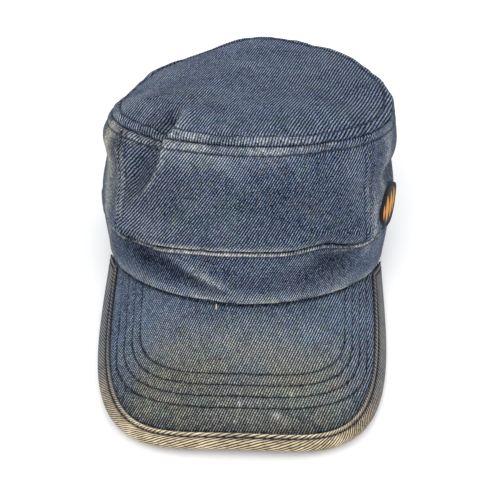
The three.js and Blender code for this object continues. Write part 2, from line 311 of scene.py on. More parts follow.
@dataclass(frozen=True)
class PeakShape:
    """The arched peak: its crest falls forwards, and it drops from the crest to its sides."""

    half_width: float = 87.2
    rear_y: float = -18.5
    length: float = 159.8
    square: float = 4.1
    crest_at_rim: float = 34.5
    crest_at_tip: float = 9.0
    low_z: float = 0.7
    seam_angle: float = 75.0
    end_y: float = -28.0
    tuck: float = 2.0
    rim_y: float = -97.5
    slope_step: float = 0.5
    outline_steps: int = 4000

    @property
    def tip_y(self) -> float:
        """Where the peak's front is."""
        return self.rear_y - self.length

    def crest(self, y: np.ndarray) -> np.ndarray:
        """The height of the peak's middle line."""
        fall = (self.crest_at_rim - self.crest_at_tip) / (self.rim_y - self.tip_y)
        return self.crest_at_rim + fall * (y - self.rim_y)

    def height(self, x: np.ndarray, y: np.ndarray) -> np.ndarray:
        """The height of the peak's upper side."""
        return self.low_z + (self.crest(y) - self.low_z) * (1.0 - np.square(x / self.half_width))

    def normal(self, x: np.ndarray, y: np.ndarray) -> np.ndarray:
        """The direction away from the peak's upper side.

        Args:
            x: Places across the peak.
            y: Places along it.

        Returns:
            The directions, of length 1.
        """
        step = self.slope_step
        slope_x = (self.height(x + step, y) - self.height(x - step, y)) / (2.0 * step)
        slope_y = (self.height(x, y + step) - self.height(x, y - step)) / (2.0 * step)
        return unit(np.stack([-slope_x, -slope_y, np.ones_like(slope_x)], axis=-1))

    def lifted(self, x: np.ndarray, y: np.ndarray, above: float | np.ndarray) -> np.ndarray:
        """Points at a distance above the peak's upper side."""
        surface = np.stack([x, y, self.height(x, y)], axis=-1)
        return surface + self.normal(x, y) * np.asarray(above)[..., None]

    def across(self, x: np.ndarray, y: np.ndarray) -> np.ndarray:
        """How far a point is from the middle line, measured over the arch.

        Args:
            x: Places across the peak.
            y: Places along it.

        Returns:
            The lengths, in millimetres.
        """
        bend = 2.0 * (self.crest(y) - self.low_z) / self.half_width**2
        steep = bend * x
        return 0.5 * x * np.sqrt(1.0 + steep**2) + np.arcsinh(steep) / (2.0 * bend)

    def outline(self, shares: np.ndarray) -> tuple[np.ndarray, np.ndarray]:
        """The peak's edge in plan.

        Args:
            shares: Places along the edge, from 0 at its right end to 1 at its left end.

        Returns:
            The points (x, y), and the outward direction (x, y) at each.
        """
        turn = np.linspace(-np.pi / 2.0, np.pi / 2.0, self.outline_steps + 1)
        x = self.half_width * signed_power(np.sin(turn), 2.0 / self.square)
        y = self.rear_y - self.length * np.cos(turn) ** (2.0 / self.square)
        fine = np.stack([x, y], axis=-1)[y <= self.end_y]
        far = np.concatenate([[0.0], np.cumsum(np.linalg.norm(np.diff(fine, axis=0), axis=-1))])
        places = np.stack([np.interp(shares * far[-1], far, fine[:, k]) for k in (0, 1)], axis=-1)
        along = unit(np.gradient(places, axis=0))
        return places, np.stack([along[:, 1], -along[:, 0]], axis=-1)


@dataclass(frozen=True)
class Crease:
    """The sharp fold near the cap's right front, where the cloth at its side has slipped down."""

    seam_across: float = -48.4
    bend: float = 0.0044
    bend_power: float = 2.25
    top_x: float = -38.0
    top_bend: float = 6.4
    top_bend_end: float = 6.5
    lift: float = 1.2
    drop: float = 1.6
    rise: float = 0.9
    sink: float = 2.6
    soft: float = 0.8
    spread: float = 11.0
    groove_shade: float = 0.6
    hollow_shade: float = 0.35
    ridge_wear: float = 0.3
    wall_slant: float = 0.85
    wall_radius: float = 88.2
    wall_fade: tuple[float, float] = (24.0, 48.0)
    top_slant: float = 0.95
    top_fade: tuple[float, float] = (16.0, 36.0)

    @property
    def uphill(self) -> np.ndarray:
        """The direction in which the cloth has slid: up, and a little towards the back."""
        return unit(np.array([0.0, 0.6, 0.8]))

    def press(self, cloth: "Cloth", away: np.ndarray, window: np.ndarray) -> None:
        """Folds a piece of cloth.

        Args:
            cloth: The piece.
            away: How far each point lies from the crease, in millimetres, the upper side plus.
            window: How much of the crease there is at each point.
        """
        share = np.tanh(away / self.soft) * np.exp(-np.abs(away) / self.spread) * window
        cloth.push += np.where(away > 0.0, self.lift, self.drop) * share
        slide = np.where(away > 0.0, self.rise, self.sink) * share
        cloth.shift += slide[..., None] * self.uphill
        groove_shadow, hollow = bell(away + 0.9), bell((away + 5.0) / 5.0)
        cloth.marks[Mark.SHADE] += (self.groove_shade * groove_shadow + self.hollow_shade * hollow) * window
        cloth.marks[Mark.WEAR] += self.ridge_wear * bell((away - 1.9) / 1.6) * window

    def on_wall(self, cloth: "Cloth", angle: np.ndarray) -> None:
        """Folds the front panel, from the top seam down.

        Args:
            cloth: The panel.
            angle: The angle of each of its points.
        """
        down = cloth.away(Side.TOP)
        line = self.seam_across - self.bend * down**self.bend_power
        away = (angle * self.wall_radius - line) * self.wall_slant
        self.press(cloth, away, 1.0 - ease(down, *self.wall_fade))

    def on_top(self, cloth: "Cloth") -> None:
        """Folds the top panel, from the seam inwards.

        Args:
            cloth: The panel.
        """
        inward = cloth.away(Side.BOTTOM)
        line = self.top_x - self.top_bend * np.exp(-inward / self.top_bend_end)
        window = (1.0 - ease(inward, *self.top_fade)) * (cloth.points[..., 1] < 0.0)
        self.press(cloth, (cloth.points[..., 0] - line) * self.top_slant, window)


@dataclass(frozen=True)
class CrownShape:
    """The crown and the band, which hang between three loops."""

    rim: Loop = Loop(half_width=88.5, middle_y=2.0, front_y=-97.5, back_y=99.5, square=2.0)
    band_seam: Loop = Loop(
        half_width=91.0, middle_y=3.0, front_y=-85.5, back_y=104.5, square=2.1,
        front_z=66.0, back_z=22.0, fall=2.8,
    )
    top_seam: Loop = Loop(
        half_width=87.0, middle_y=19.0, front_y=-69.0, back_y=115.0, square=1.95,
        front_z=128.5, back_z=71.0, fall=1.6,
    )
    band_level: float = 0.3
    band_swell: float = 0.6
    wall_swell: float = 2.0
    top_puff: float = 2.4
    front_roll: float = 3.6
    back_roll: float = 1.0
    roll_width: float = 10.0
    floor_sink: float = 0.15
    peak: PeakShape = PeakShape()
    # Each slump of a seam: angle, spread, how far out and how far up.
    band_slumps: tuple[Slump, ...] = (
        Slump(-38, 16, 0.0, -1.8),
        Slump(28, 9, 0.0, 4.2),
        Slump(48, 7, 0.0, -1.5),
    )
    top_slumps: tuple[Slump, ...] = (
        Slump(-125, 38, -5.0, -7.5),
        Slump(130, 38, 6.0, 2.0),
        Slump(-90, 18, -3.5, 0.6),
        Slump(-108, 18, -2.1, 0.0),
        Slump(-126, 18, 3.4, 2.7),
        Slump(-144, 18, 1.1, 1.1),
        Slump(180, 18, 2.8, 3.1),
        Slump(160, 18, 2.4, 0.3),
        Slump(140, 18, 0.6, 2.0),
        Slump(100, 18, -1.9, 4.4),
    )
    # Each fold of the wall: (angle, level), turn, half length, half width, height.
    wall_folds: tuple[Fold, ...] = (
        Fold((-36, 0.82), 60, 19, 4.5, 2.4),
        Fold((-42, 0.80), 60, 18, 5.0, -2.6),
        Fold((-15, 0.16), -25, 24, 4.0, 1.9),
        Fold((-13.5, 0.150), -27, 17, 1.9, 0.9),
        Fold((-21, 0.10), -25, 20, 6.0, -1.8),
        Fold((-39, 0.22), -10, 14, 6.5, -2.4),
        Fold((37, 0.22), 10, 16, 6.5, -2.2),
        Fold((16, 0.15), -20, 14, 5.0, -0.8),
        Fold((0, 0.37), 0, 65, 8.0, 1.4),
        Fold((-50, 0.36), 0, 12, 8.0, 1.8),
        Fold((50, 0.37), 0, 12, 8.0, 1.8),
        Fold((32, 0.90), 84, 15, 4.5, -1.3),
        Fold((-72, 0.67), 0, 32, 7.0, -0.9),
        Fold((75, 0.65), 0, 32, 7.0, -4.2),
        Fold((-75, 0.87), 0, 42, 9.0, 3.2),
        Fold((78, 0.85), 0, 42, 10.0, 1.2),
        Fold((148, 0.62), 75, 24, 9.0, -2.4),
        Fold((-156, 0.55), 105, 22, 10.0, -2.2),
    )
    # Each tone of the wall: (angle, level), turn, half length, half width, mark, amount.
    wall_tones: tuple[Tone, ...] = (
        Tone((-41, 0.82), 68, 24, 6.5, Mark.SHADE, 0.46),
        Tone((-55, 0.90), 80, 17, 5.0, Mark.SHADE, 0.6),
        # Pale, creamy streaks down the left silhouette: partly wear and soil, partly painted sheen where the
        # cloth turns away from the camera.
        Tone((-66, 0.86), 75, 20, 5.0, Mark.WEAR, 0.6),
        Tone((-66, 0.86), 75, 20, 6.0, Mark.SOIL, 0.8),
        Tone((-66, 0.50), 85, 36, 6.0, Mark.WEAR, 0.42),
        Tone((-66, 0.50), 85, 40, 9.0, Mark.SOIL, 0.5),
        Tone((-66, 0.50), 85, 40, 6.0, Mark.FADE, 0.4),
        Tone((-38, 0.42), -12, 30, 9.0, Mark.FADE, 0.4),
        Tone((-34, 0.60), 30, 20, 14.0, Mark.SOIL, 0.06),
        Tone((-12, 0.91), 0, 27, 6.5, Mark.FADE, 0.75),
        Tone((-5, 0.83), -42, 20, 3.5, Mark.FADE, 0.32),
        Tone((14, 0.57), 0, 22, 15.0, Mark.SHADE, 0.24),
        Tone((42, 0.82), -70, 24, 9.0, Mark.FADE, 0.4),
        Tone((24, 0.56), 0, 6, 6.0, Mark.SOIL, 0.35),
        Tone((33, 0.985), 0, 1.5, 1.0, Mark.WEAR, 1.0),
        Tone((54, 0.45), 80, 15, 3.5, Mark.FADE, 0.65),
        # A pale streak down the right silhouette: partly wear, partly painted sheen where the cloth turns
        # away from the camera.
        Tone((66, 0.67), 85, 34, 6.0, Mark.FADE, 0.6),
        Tone((66, 0.67), 85, 34, 6.0, Mark.WEAR, 0.3),
        # Painted shadow on the band under the front panel's bulge, and painted shade beside the band's fold.
        Tone((-39, 0.20), -10, 26, 9.0, Mark.SHADE, 0.95),
        Tone((-20, 0.12), -25, 17, 4.5, Mark.SHADE, 0.6),
        Tone((-16, 0.165), -27, 25, 4.0, Mark.FADE, 0.5),
        Tone((-12, 0.152), -27, 15, 1.9, Mark.WEAR, 0.34),
        Tone((-4, 0.315), 2, 42, 3.0, Mark.FADE, 0.7),
        Tone((-8, 0.31), 1, 44, 2.6, Mark.WEAR, 0.5),
        Tone((-5, 0.288), 0, 55, 1.3, Mark.WEAR, 0.9),
        Tone((47, 0.282), 6, 18, 1.5, Mark.WEAR, 1.0),
        Tone((0, 0.300), 0, 90, 0.5, Mark.SHADE, 0.6),
        Tone((-21, 0.975), 0, 12, 2.6, Mark.WEAR, 0.32),
        Tone((14, 0.978), 0, 20, 2.6, Mark.WEAR, 0.28),
        Tone((55, 0.40), 75, 17, 4.0, Mark.WEAR, 0.5),
        Tone((34, 0.20), 8, 18, 7.5, Mark.SHADE, 0.85),
        Tone((44, 0.09), 0, 12, 4.0, Mark.FADE, 0.4),
        Tone((10, 0.14), 0, 25, 5.5, Mark.SHADE, 0.3),
        Tone((19, 0.22), 0, 9, 4.0, Mark.FADE, 0.45),
        Tone((-46, 0.07), 0, 16, 5.0, Mark.FADE, 0.45),
        Tone((-66, 0.15), 0, 12, 12.0, Mark.SOIL, 0.35),
        Tone((62, 0.20), 0, 12, 9.0, Mark.FADE, 0.4),
        Tone((75, 0.65), 0, 32, 7.0, Mark.SHADE, 0.3),
    )
    # Each fold of the top panel: (x, y), turn, half length, half width, height.
    top_folds: tuple[Fold, ...] = (
        Fold((-36, -42), 74, 20, 4.5, 2.0),
        Fold((-44, -40), 74, 19, 5.5, -2.4),
        Fold((4, 26), 80, 48, 30.0, -3.0),
        Fold((-60, 52), 40, 26, 9.0, 1.6),
        Fold((52, 58), 130, 30, 12.0, 1.6),
    )
    # Each tone of the top panel: (x, y), turn, half length, half width, mark, amount.
    top_tones: tuple[Tone, ...] = (
        Tone((-38, 26), 20, 32, 24.0, Mark.SHADE, 0.1),
        Tone((-31, -59), -18, 12, 3.2, Mark.WEAR, 0.36),
        Tone((20, -62), 8, 20, 3.2, Mark.WEAR, 0.32),
        Tone((-51, -37), 40, 17, 8.0, Mark.SHADE, 0.46),
        Tone((17, -40), 0, 22, 8.0, Mark.SHADE, 0.36),
        Tone((55, -14), -60, 32, 10.0, Mark.SHADE, 0.42),
        Tone((-69, 4), 70, 40, 6.0, Mark.FADE, 0.5),
    )

    def rim_height(self, x: np.ndarray, y: np.ndarray, angle: np.ndarray) -> np.ndarray:
        """The height of the band's lower edge, on the peak at the front and on the floor behind.

        Args:
            x: The edge's x.
            y: The edge's y.
            angle: Its angles round the crown.

        Returns:
            The heights.
        """
        turn, seam = np.abs(half_turn(angle)), math.radians(self.peak.seam_angle)
        end_x, end_y = self.rim.plan(np.array(seam))
        share = 0.5 + 0.5 * np.cos(np.pi * (turn - seam) / (np.pi - seam))
        above = self.peak.height(end_x, end_y) + GAP + self.floor_sink
        sunk = np.maximum(0.0, above * share - self.floor_sink)
        return np.where(turn <= seam, self.peak.height(x, y) + GAP, sunk)

    def rim_line(self, angle: np.ndarray) -> np.ndarray:
        """The points of the rim."""
        x, y = self.rim.plan(angle)
        return np.stack([x, y, self.rim_height(x, y, angle)], axis=-1)

    @staticmethod
    def slumped(loop: Loop, slumps: Sequence[Slump], angle: np.ndarray) -> np.ndarray:
        """The line of a seam that has sunk or spread.

        Args:
            loop: The seam as cut.
            slumps: Where it has moved.
            angle: Angles round the crown.

        Returns:
            The seam's points.
        """
        points = loop.hung(angle)
        for slump in slumps:
            points = slump.moved(points, angle)
        return points

    def band_line(self, angle: np.ndarray) -> np.ndarray:
        """The points of the band seam."""
        return self.slumped(self.band_seam, self.band_slumps, angle)

    def top_line(self, angle: np.ndarray) -> np.ndarray:
        """The points of the top seam."""
        return self.slumped(self.top_seam, self.top_slumps, angle)

    def wall(self, angle: np.ndarray, level: np.ndarray) -> tuple[np.ndarray, Marks]:
        """The outside of the crown wall and the band.

        Args:
            angle: From the front, in radians.
            level: 0 at the rim, 1 at the top seam.

        Returns:
            The points, and how much of each mark they carry.
        """
        rim, seam, top = self.rim_line(angle), self.band_line(angle), self.top_line(angle)
        on_band = level <= self.band_level
        above = (level - self.band_level) / (1.0 - self.band_level)
        share = np.where(on_band, level / self.band_level, above)
        low = np.where(on_band[..., None], rim, seam)
        high = np.where(on_band[..., None], seam, top)
        band_height = np.linalg.norm(seam - rim, axis=-1)
        wall_height = np.linalg.norm(top - seam, axis=-1)

        def climb(at: float | np.ndarray) -> np.ndarray:
            """The height up the cloth at a level.

            Args:
                at: The level.

            Returns:
                The height, in millimetres from the rim.
            """
            lower = np.minimum(at, self.band_level) / self.band_level * band_height
            upper = np.maximum(at - self.band_level, 0.0) / (1.0 - self.band_level)
            return lower + upper * wall_height

        points = low + (high - low) * share[..., None]
        radius = np.hypot(points[..., 0], points[..., 1] - self.band_seam.middle_y)
        push = np.where(on_band, self.band_swell, self.wall_swell) * (1.0 - np.abs(2.0 * share - 1.0) ** 3)
        marks = {mark: np.zeros_like(push) for mark in Mark}

        def part(spot: Spot) -> np.ndarray:
            """How much of a spot there is at each point."""
            away = half_turn(angle - math.radians(spot.place[0]))
            return spot.share(away * radius, climb(level) - climb(spot.place[1]))

        for fold in self.wall_folds:
            push = push + fold.height * part(fold)
        for tone in self.wall_tones:
            marks[tone.mark] += tone.amount * part(tone)
        return points + outward(angle) * push[..., None], marks

    def top(self, angle: np.ndarray, reach: np.ndarray) -> np.ndarray:
        """The outside of the top panel.

        Args:
            angle: From the front, in radians.
            reach: 1 at the seam, 0 at the panel's middle.

        Returns:
            The points.
        """
        seam = self.top_seam
        edge = self.wall(angle, np.ones_like(angle))[0]
        tilt = (seam.back_z - seam.front_z) / (seam.back_y - seam.front_y)
        x = edge[..., 0] * reach
        y = seam.middle_y + (edge[..., 1] - seam.middle_y) * reach
        plane = seam.front_z + tilt * (y - seam.front_y)
        edge_plane = seam.front_z + tilt * (edge[..., 1] - seam.front_y)
        height = plane + (edge[..., 2] - edge_plane) * reach**2 + self.top_puff * (1.0 - reach**4)
        push = sum(fold.height * fold.there(x, y) for fold in self.top_folds)
        inward = (1.0 - reach) * np.hypot(edge[..., 0], edge[..., 1] - seam.middle_y)
        roll = self.back_roll + (self.front_roll - self.back_roll) * ease(np.cos(angle), -0.6, 0.7)
        rise = 1.0 - np.square(1.0 - np.clip(inward / self.roll_width, 0.0, 1.0))
        settled = ease(reach, 0.0, 0.7)
        mean_roll = 0.5 * (self.back_roll + self.front_roll)
        height = height + rise * (roll * settled + mean_roll * (1.0 - settled))
        return np.stack([x, y, height + push * np.minimum(1.0, 4.0 * (1.0 - reach**4))], axis=-1)


class Side(Enum):
    """An edge of a grid."""

    BOTTOM = "bottom"
    TOP = "top"
    LEFT = "left"
    RIGHT = "right"


class Cloth:
    """One piece of cloth: a grid of points on its outer side, pushed in and out, and its marks."""

    def __init__(
        self, points: np.ndarray, thickness: float, closes: bool = False, ends_in_point: bool = False
    ) -> None:
        """Takes the grid.

        Args:
            points: The grid. If it closes round, its last column is its first one again.
            thickness: How thick the cloth is.
            closes: Whether the grid closes round.
            ends_in_point: Whether the whole last row is one point.
        """
        self.points = points
        self.thickness = thickness
        self.closes = closes
        self.ends_in_point = ends_in_point
        self.push = np.zeros(points.shape[:-1])
        self.shift = np.zeros(points.shape)
        self.marks = {mark: np.zeros(points.shape[:-1]) for mark in Mark}
        self.normals = self.find_normals()
        self.weave = np.stack([self.middle_travel(1), self.middle_travel(0)], axis=-1)
        self.inner: np.ndarray | None = None

    def take(self, marks: Marks) -> None:
        """Adds marks to the cloth's own."""
        for mark, values in marks.items():
            self.marks[mark] += values

    def tone(self, x: np.ndarray, y: np.ndarray, tones: Sequence[Tone]) -> None:
        """Marks the cloth with tones whose places are given in x and y."""
        for tone in tones:
            self.marks[tone.mark] += tone.amount * tone.there(x, y)

    def find_normals(self) -> np.ndarray:
        """Works out which way is outwards.

        Returns:
            The outward direction at each point of the grid.
        """
        up = np.gradient(self.points, axis=0)
        if self.closes:
            loop = self.points[:, :-1]
            along = np.roll(loop, -1, axis=1) - np.roll(loop, 1, axis=1)
            along = np.concatenate([along, along[:, :1]], axis=1)
        else:
            along = np.gradient(self.points, axis=1)
        normals = unit(np.cross(along, up))
        if self.ends_in_point:
            normals[-1] = unit(normals[-2].mean(axis=0))
        return normals

    def middle_travel(self, axis: int) -> np.ndarray:
        """The weave's own length at each point, taken from the grid's middle line.

        Args:
            axis: 0 for the length up the cloth, 1 for the length along it.

        Returns:
            The lengths in millimetres.
        """
        far = travelled(self.points, axis)
        if axis == 1:
            middle = far[far.shape[0] // 2]
            return np.broadcast_to(middle - middle[-1] / 2.0, far.shape)
        return far - far[far.shape[0] // 2]

    def away(self, side: Side) -> np.ndarray:
        """How far each point lies from one of the cloth's edges.

        Args:
            side: The edge.

        Returns:
            The lengths in millimetres.
        """
        axis = 0 if side in (Side.BOTTOM, Side.TOP) else 1
        far = travelled(self.points, axis)
        if side in (Side.BOTTOM, Side.LEFT):
            return far
        return np.take(far, [-1], axis=axis) - far

    def lean(self, side: Side, direction: np.ndarray, width: float = 2.5) -> None:
        """Turns the cloth's outward direction near an edge to one that two pieces share there."""
        share = bell(self.away(side) / width)[..., None]
        self.normals = unit(self.normals * (1.0 - share) + direction * share)

    def outer(self) -> np.ndarray:
        """The outer side as it is pushed, never behind the inner one nor under the floor.

        Returns:
            Its points.
        """
        push = np.maximum(self.push, LEAST_CLOTH - self.thickness)
        points = self.points + self.normals * push[..., None] + self.shift
        points[..., 2] = np.maximum(points[..., 2], 0.0)
        return points

    def row_line(self, side: Side, away: float, above: float = 0.12) -> np.ndarray:
        """The line that a row of stitches follows on the outer side.

        Args:
            side: The edge that the row runs along.
            away: How far from that edge it runs.
            above: How far its thread stands above the cloth.

        Returns:
            The line's points.
        """
        far, outer = self.away(side), self.outer() + self.normals * above
        if side in (Side.LEFT, Side.RIGHT):
            far, outer = far.T, outer.swapaxes(0, 1)
        if side in (Side.TOP, Side.RIGHT):
            far, outer = far[::-1], outer[::-1]
        columns = range(far.shape[1])
        return np.array([[np.interp(away, far[:, c], outer[:, c, k]) for k in range(3)] for c in columns])

    def build(self, name: str, material: bpy.types.Material) -> bpy.types.Object:
        """Makes the closed piece, both sides and their edges.

        Args:
            name: The piece's name.
            material: Its finish.

        Returns:
            The new object.
        """
        outer = self.outer()
        inner = self.points - self.normals * self.thickness if self.inner is None else self.inner
        inner = inner + self.shift
        inner[..., 2] = np.maximum(inner[..., 2], 0.0)
        rows, columns = outer.shape[:2]
        grid = np.arange(rows * columns).reshape(rows, columns)
        same = grid.copy()
        if self.closes:
            same[:, -1] = same[:, 0]
        if self.ends_in_point:
            same[-1] = same[-1, 0]
        skin = np.stack([grid[:-1, :-1], grid[:-1, 1:], grid[1:, 1:], grid[1:, :-1]], axis=-1).reshape(-1, 4)
        depth = rows * columns
        faces = [skin, skin[:, ::-1] + depth, self.edge(grid[0, ::-1], depth)]
        if not self.ends_in_point:
            faces.append(self.edge(grid[-1], depth))
        if not self.closes:
            faces += [self.edge(grid[:, 0], depth), self.edge(grid[::-1, -1], depth)]
        corners = np.concatenate(faces)
        same = np.concatenate([same.ravel(), same.ravel() + depth])
        marks = {mark: np.concatenate([values.ravel()] * 2) for mark, values in self.marks.items()}
        marks[Mark.INSIDE] = np.repeat([0.0, 1.0], depth)
        weave = np.concatenate([self.weave.reshape(-1, 2)] * 2)
        points = np.concatenate([outer.reshape(-1, 3), inner.reshape(-1, 3)])
        return make_mesh(name, points, corners, same, weave, marks, material)

    @staticmethod
    def edge(line: np.ndarray, depth: int) -> np.ndarray:
        """The faces between the outer and the inner side along an edge of the grid."""
        return np.stack([line[1:], line[:-1], line[:-1] + depth, line[1:] + depth], axis=-1)[:, ::-1]


def make_mesh(
    name: str,
    points: np.ndarray,
    corners: np.ndarray,
    same: np.ndarray,
    weave: np.ndarray,
    marks: Marks,
    material: bpy.types.Material,
) -> bpy.types.Object:
    """Makes a mesh object whose points are given in millimetres from the head opening's middle.

    Args:
        name: The object's name.
        points: All points.
        corners: Four point numbers for each face.
        same: For each point, the number of the point that stands for it.
        weave: The cloth's own length and height at each point.
        marks: What the finish reads at each point.
        material: The finish.

    Returns:
        The new object, smooth shaded.
    """
    used, numbers = np.unique(same, return_inverse=True)
    loops = numbers[corners]
    keep = np.stack([loops[:, k] != loops[:, (k + 1) % 4] for k in range(4)], axis=-1)
    lengths = keep.sum(axis=1)
    mesh = bpy.data.meshes.new(name)
    mesh.vertices.add(len(used))
    mesh.vertices.foreach_set("co", in_frame(points[used]).astype(np.float32).ravel())
    mesh.loops.add(int(lengths.sum()))
    mesh.loops.foreach_set("vertex_index", loops[keep].astype(np.int32))
    mesh.polygons.add(len(loops))
    starts = np.concatenate([[0], np.cumsum(lengths)[:-1]])
    mesh.polygons.foreach_set("loop_start", starts.astype(np.int32))
    mesh.update(calc_edges=True)
    mesh.validate()
    layer = mesh.uv_layers.new(name="weave")
    layer.data.foreach_set("uv", (weave[corners[keep]] * MM).astype(np.float32).ravel())
    for mark, values in marks.items():
        attribute = mesh.attributes.new(mark.value, "FLOAT", "POINT")
        attribute.data.foreach_set("value", np.clip(values[used], 0.0, 1.0).astype(np.float32))
    mesh.shade_smooth()
    mesh.materials.append(material)
    return new_object(name, mesh)


@dataclass(frozen=True)
class SewnEdge:
    """How cloth lies beside a seam: it rolls in, stands up where it is doubled, sinks at its rows.

    Lengths are in millimetres from the seam. The wear, line and row_shade say how much of a mark
    the doubled cloth, the seam and its rows carry: line and row_shade are painted shade in the
    seam's gap and in the sunk rows.
    """

    roll: float
    roll_width: float
    ridge: float
    ridge_end: float
    rows: tuple[float, ...] = ()
    sink: float = 0.55
    pucker: float = 0.45
    wear: float = 0.5
    wear_end: float = 3.0
    line: float = 0.95
    start: float = 0.3
    row_shade: float = 0.9
    ridge_ramp: float = 1.1
    pucker_reach: float = 4.0
    line_width: float = 0.62
    row_width: float = 0.8
    row_shade_width: float = 0.85

    def press(self, cloth: Cloth, side: Side) -> None:
        """Shapes and marks a piece of cloth along one of its edges.

        Args:
            cloth: The piece.
            side: The edge.
        """
        away = cloth.away(side)
        wave, specks = PUCKERS.at(cloth.points), SPECKS.at(cloth.points)
        ridge = ease(away, self.start, self.start + self.ridge_ramp)
        ridge = ridge * (1.0 - ease(away, self.ridge_end - 0.9, self.ridge_end + 0.9))
        cloth.push += self.ridge * ridge * (1.0 + self.pucker * wave)
        cloth.push -= self.roll * bell(away / self.roll_width)
        cloth.push += 0.35 * self.pucker * wave * bell((away - self.ridge_end) / self.pucker_reach)
        patchy = np.clip(0.4 + SOFT.at(cloth.points) + 0.6 * specks + 0.5 * BROAD.at(cloth.points), 0.0, 1.6)
        worn = ease(away, self.start, self.start + 0.9)
        worn = worn * (1.0 - ease(away, 0.45 * self.wear_end, 1.25 * self.wear_end))
        # Painted shade: a dark line in the seam's gap, and darkening in the dips of the puckered, worn ridge
        # mixed with random mottling.
        dip_shade_and_mottle = np.clip(-0.1 - wave - 0.7 * specks, 0.0, 1.0)
        cloth.marks[Mark.WEAR] += self.wear * worn * patchy
        cloth.marks[Mark.SHADE] += self.line * bell(away / self.line_width) + 0.8 * self.wear * worn * dip_shade_and_mottle
        for row in self.rows:
            cloth.push -= self.sink * bell((away - row) / self.row_width) * (1.0 + 0.4 * wave)
            drawn = bell((away - row + 0.5 * wave) / self.row_shade_width)
            cloth.marks[Mark.SHADE] += self.row_shade * drawn

    def sew(self, cloth: Cloth, side: Side, stitches: "Stitching", closes: bool = False) -> None:
        """Adds the rows of stitches along an edge that has been pressed.

        Args:
            cloth: The piece of cloth.
            side: The edge.
            stitches: The stitches that the rows are added to.
            closes: Whether the rows close round.
        """
        for row in self.rows:
            stitches.add(cloth.row_line(side, row), closes)


class Sock:
    """A shader socket that Python's arithmetic works on: each step adds a Math node."""

    def __init__(self, nodes: "Nodes", socket: bpy.types.NodeSocket) -> None:
        """Wraps an output socket of a node tree."""
        self.nodes = nodes
        self.socket = socket

    def math(self, operation: str, *values: "Sock | float") -> "Sock":
        """The result of a Math node on this and other values."""
        inputs = dict(zip(("Value", "Value_001"), (self, *values)))
        return self.nodes.node("ShaderNodeMath", {"operation": operation}, inputs, "Value")

    def __add__(self, other: "Sock | float") -> "Sock":
        """This plus another value."""
        return self.math("ADD", other)

    __radd__ = __add__

    def __mul__(self, other: "Sock | float") -> "Sock":
        """This times another value."""
        return self.math("MULTIPLY", other)

    __rmul__ = __mul__

    def __sub__(self, other: "Sock | float") -> "Sock":
        """This minus another value."""
        return self.math("SUBTRACT", other)

    def __rsub__(self, other: float) -> "Sock":
        """A number minus this."""
        return (self * -1.0) + other

    def __truediv__(self, other: "Sock | float") -> "Sock":
        """This divided by another value."""
        return self.math("DIVIDE", other)

    def __pow__(self, power: float) -> "Sock":
        """This to a power."""
        return self.math("POWER", power)

    def floor(self) -> "Sock":
        """The whole number below this."""
        return self.math("FLOOR")

    def size(self) -> "Sock":
        """This without its sign."""
        return self.math("ABSOLUTE")

    def hump(self) -> "Sock":
        """For a share from 0 to 1, a value that is 1 at its middle and 0 at both ends."""
        return self * (1.0 - self) * 4.0

    def clamped(self) -> "Sock":
        """This, held between 0 and 1."""
        return self.math("MINIMUM", 1.0).math("MAXIMUM", 0.0)

    def eased(self, start: float, end: float) -> "Sock":
        """Goes smoothly from 0 where this is start to 1 where it is end."""
        values = {"Value": self, "From Min": start, "From Max": end}
        return self.nodes.node("ShaderNodeMapRange", {"interpolation_type": "SMOOTHSTEP"}, values, "Result")


Value = Sock | float | int | str | tuple | bpy.types.ID


class Nodes:
    """A node tree and the one way in which nodes are added to it."""

    def __init__(self, tree: bpy.types.NodeTree) -> None:
        """Takes the tree and empties it."""
        self.tree = tree
        tree.nodes.clear()

    @staticmethod
    def pick(sockets: Sequence[bpy.types.NodeSocket], key: str) -> bpy.types.NodeSocket:
        """The socket with an identifier, or else with a name."""
        found = [s for s in sockets if s.identifier == key] or [s for s in sockets if s.name == key]
        return found[0]

    def node(self, kind: str, settings: dict[str, object], values: dict[str, Value], output: str) -> Sock:
        """Adds a node.

        Args:
            kind: The node's type.
            settings: Its own settings, which are made first.
            values: For each of its sockets, a number or the socket that feeds it.
            output: The output socket that is wanted.

        Returns:
            That output.
        """
        made = self.tree.nodes.new(kind)
        for name, setting in settings.items():
            setattr(made, name, setting)
        for key, value in values.items():
            socket = self.pick(made.inputs, key)
            if isinstance(value, Sock):
                self.tree.links.new(value.socket, socket)
            else:
                socket.default_value = value
        return Sock(self, self.pick(made.outputs, output)) if output else Sock(self, None)


Colour = tuple[float, float, float]


def paint(colour: Colour) -> tuple[float, float, float, float]:
    """Makes a colour ready for a node.

    Args:
        colour: The colour as it shows on a screen, from 0 to 255.

    Returns:
        The same colour, linear and solid.
    """

    def linear(level: float) -> float:
        """One channel, linear."""
        share = level / 255.0
        return share / 12.92 if share <= 0.04045 else ((share + 0.055) / 1.055) ** 2.4

    return (*(linear(level) for level in colour), 1.0)


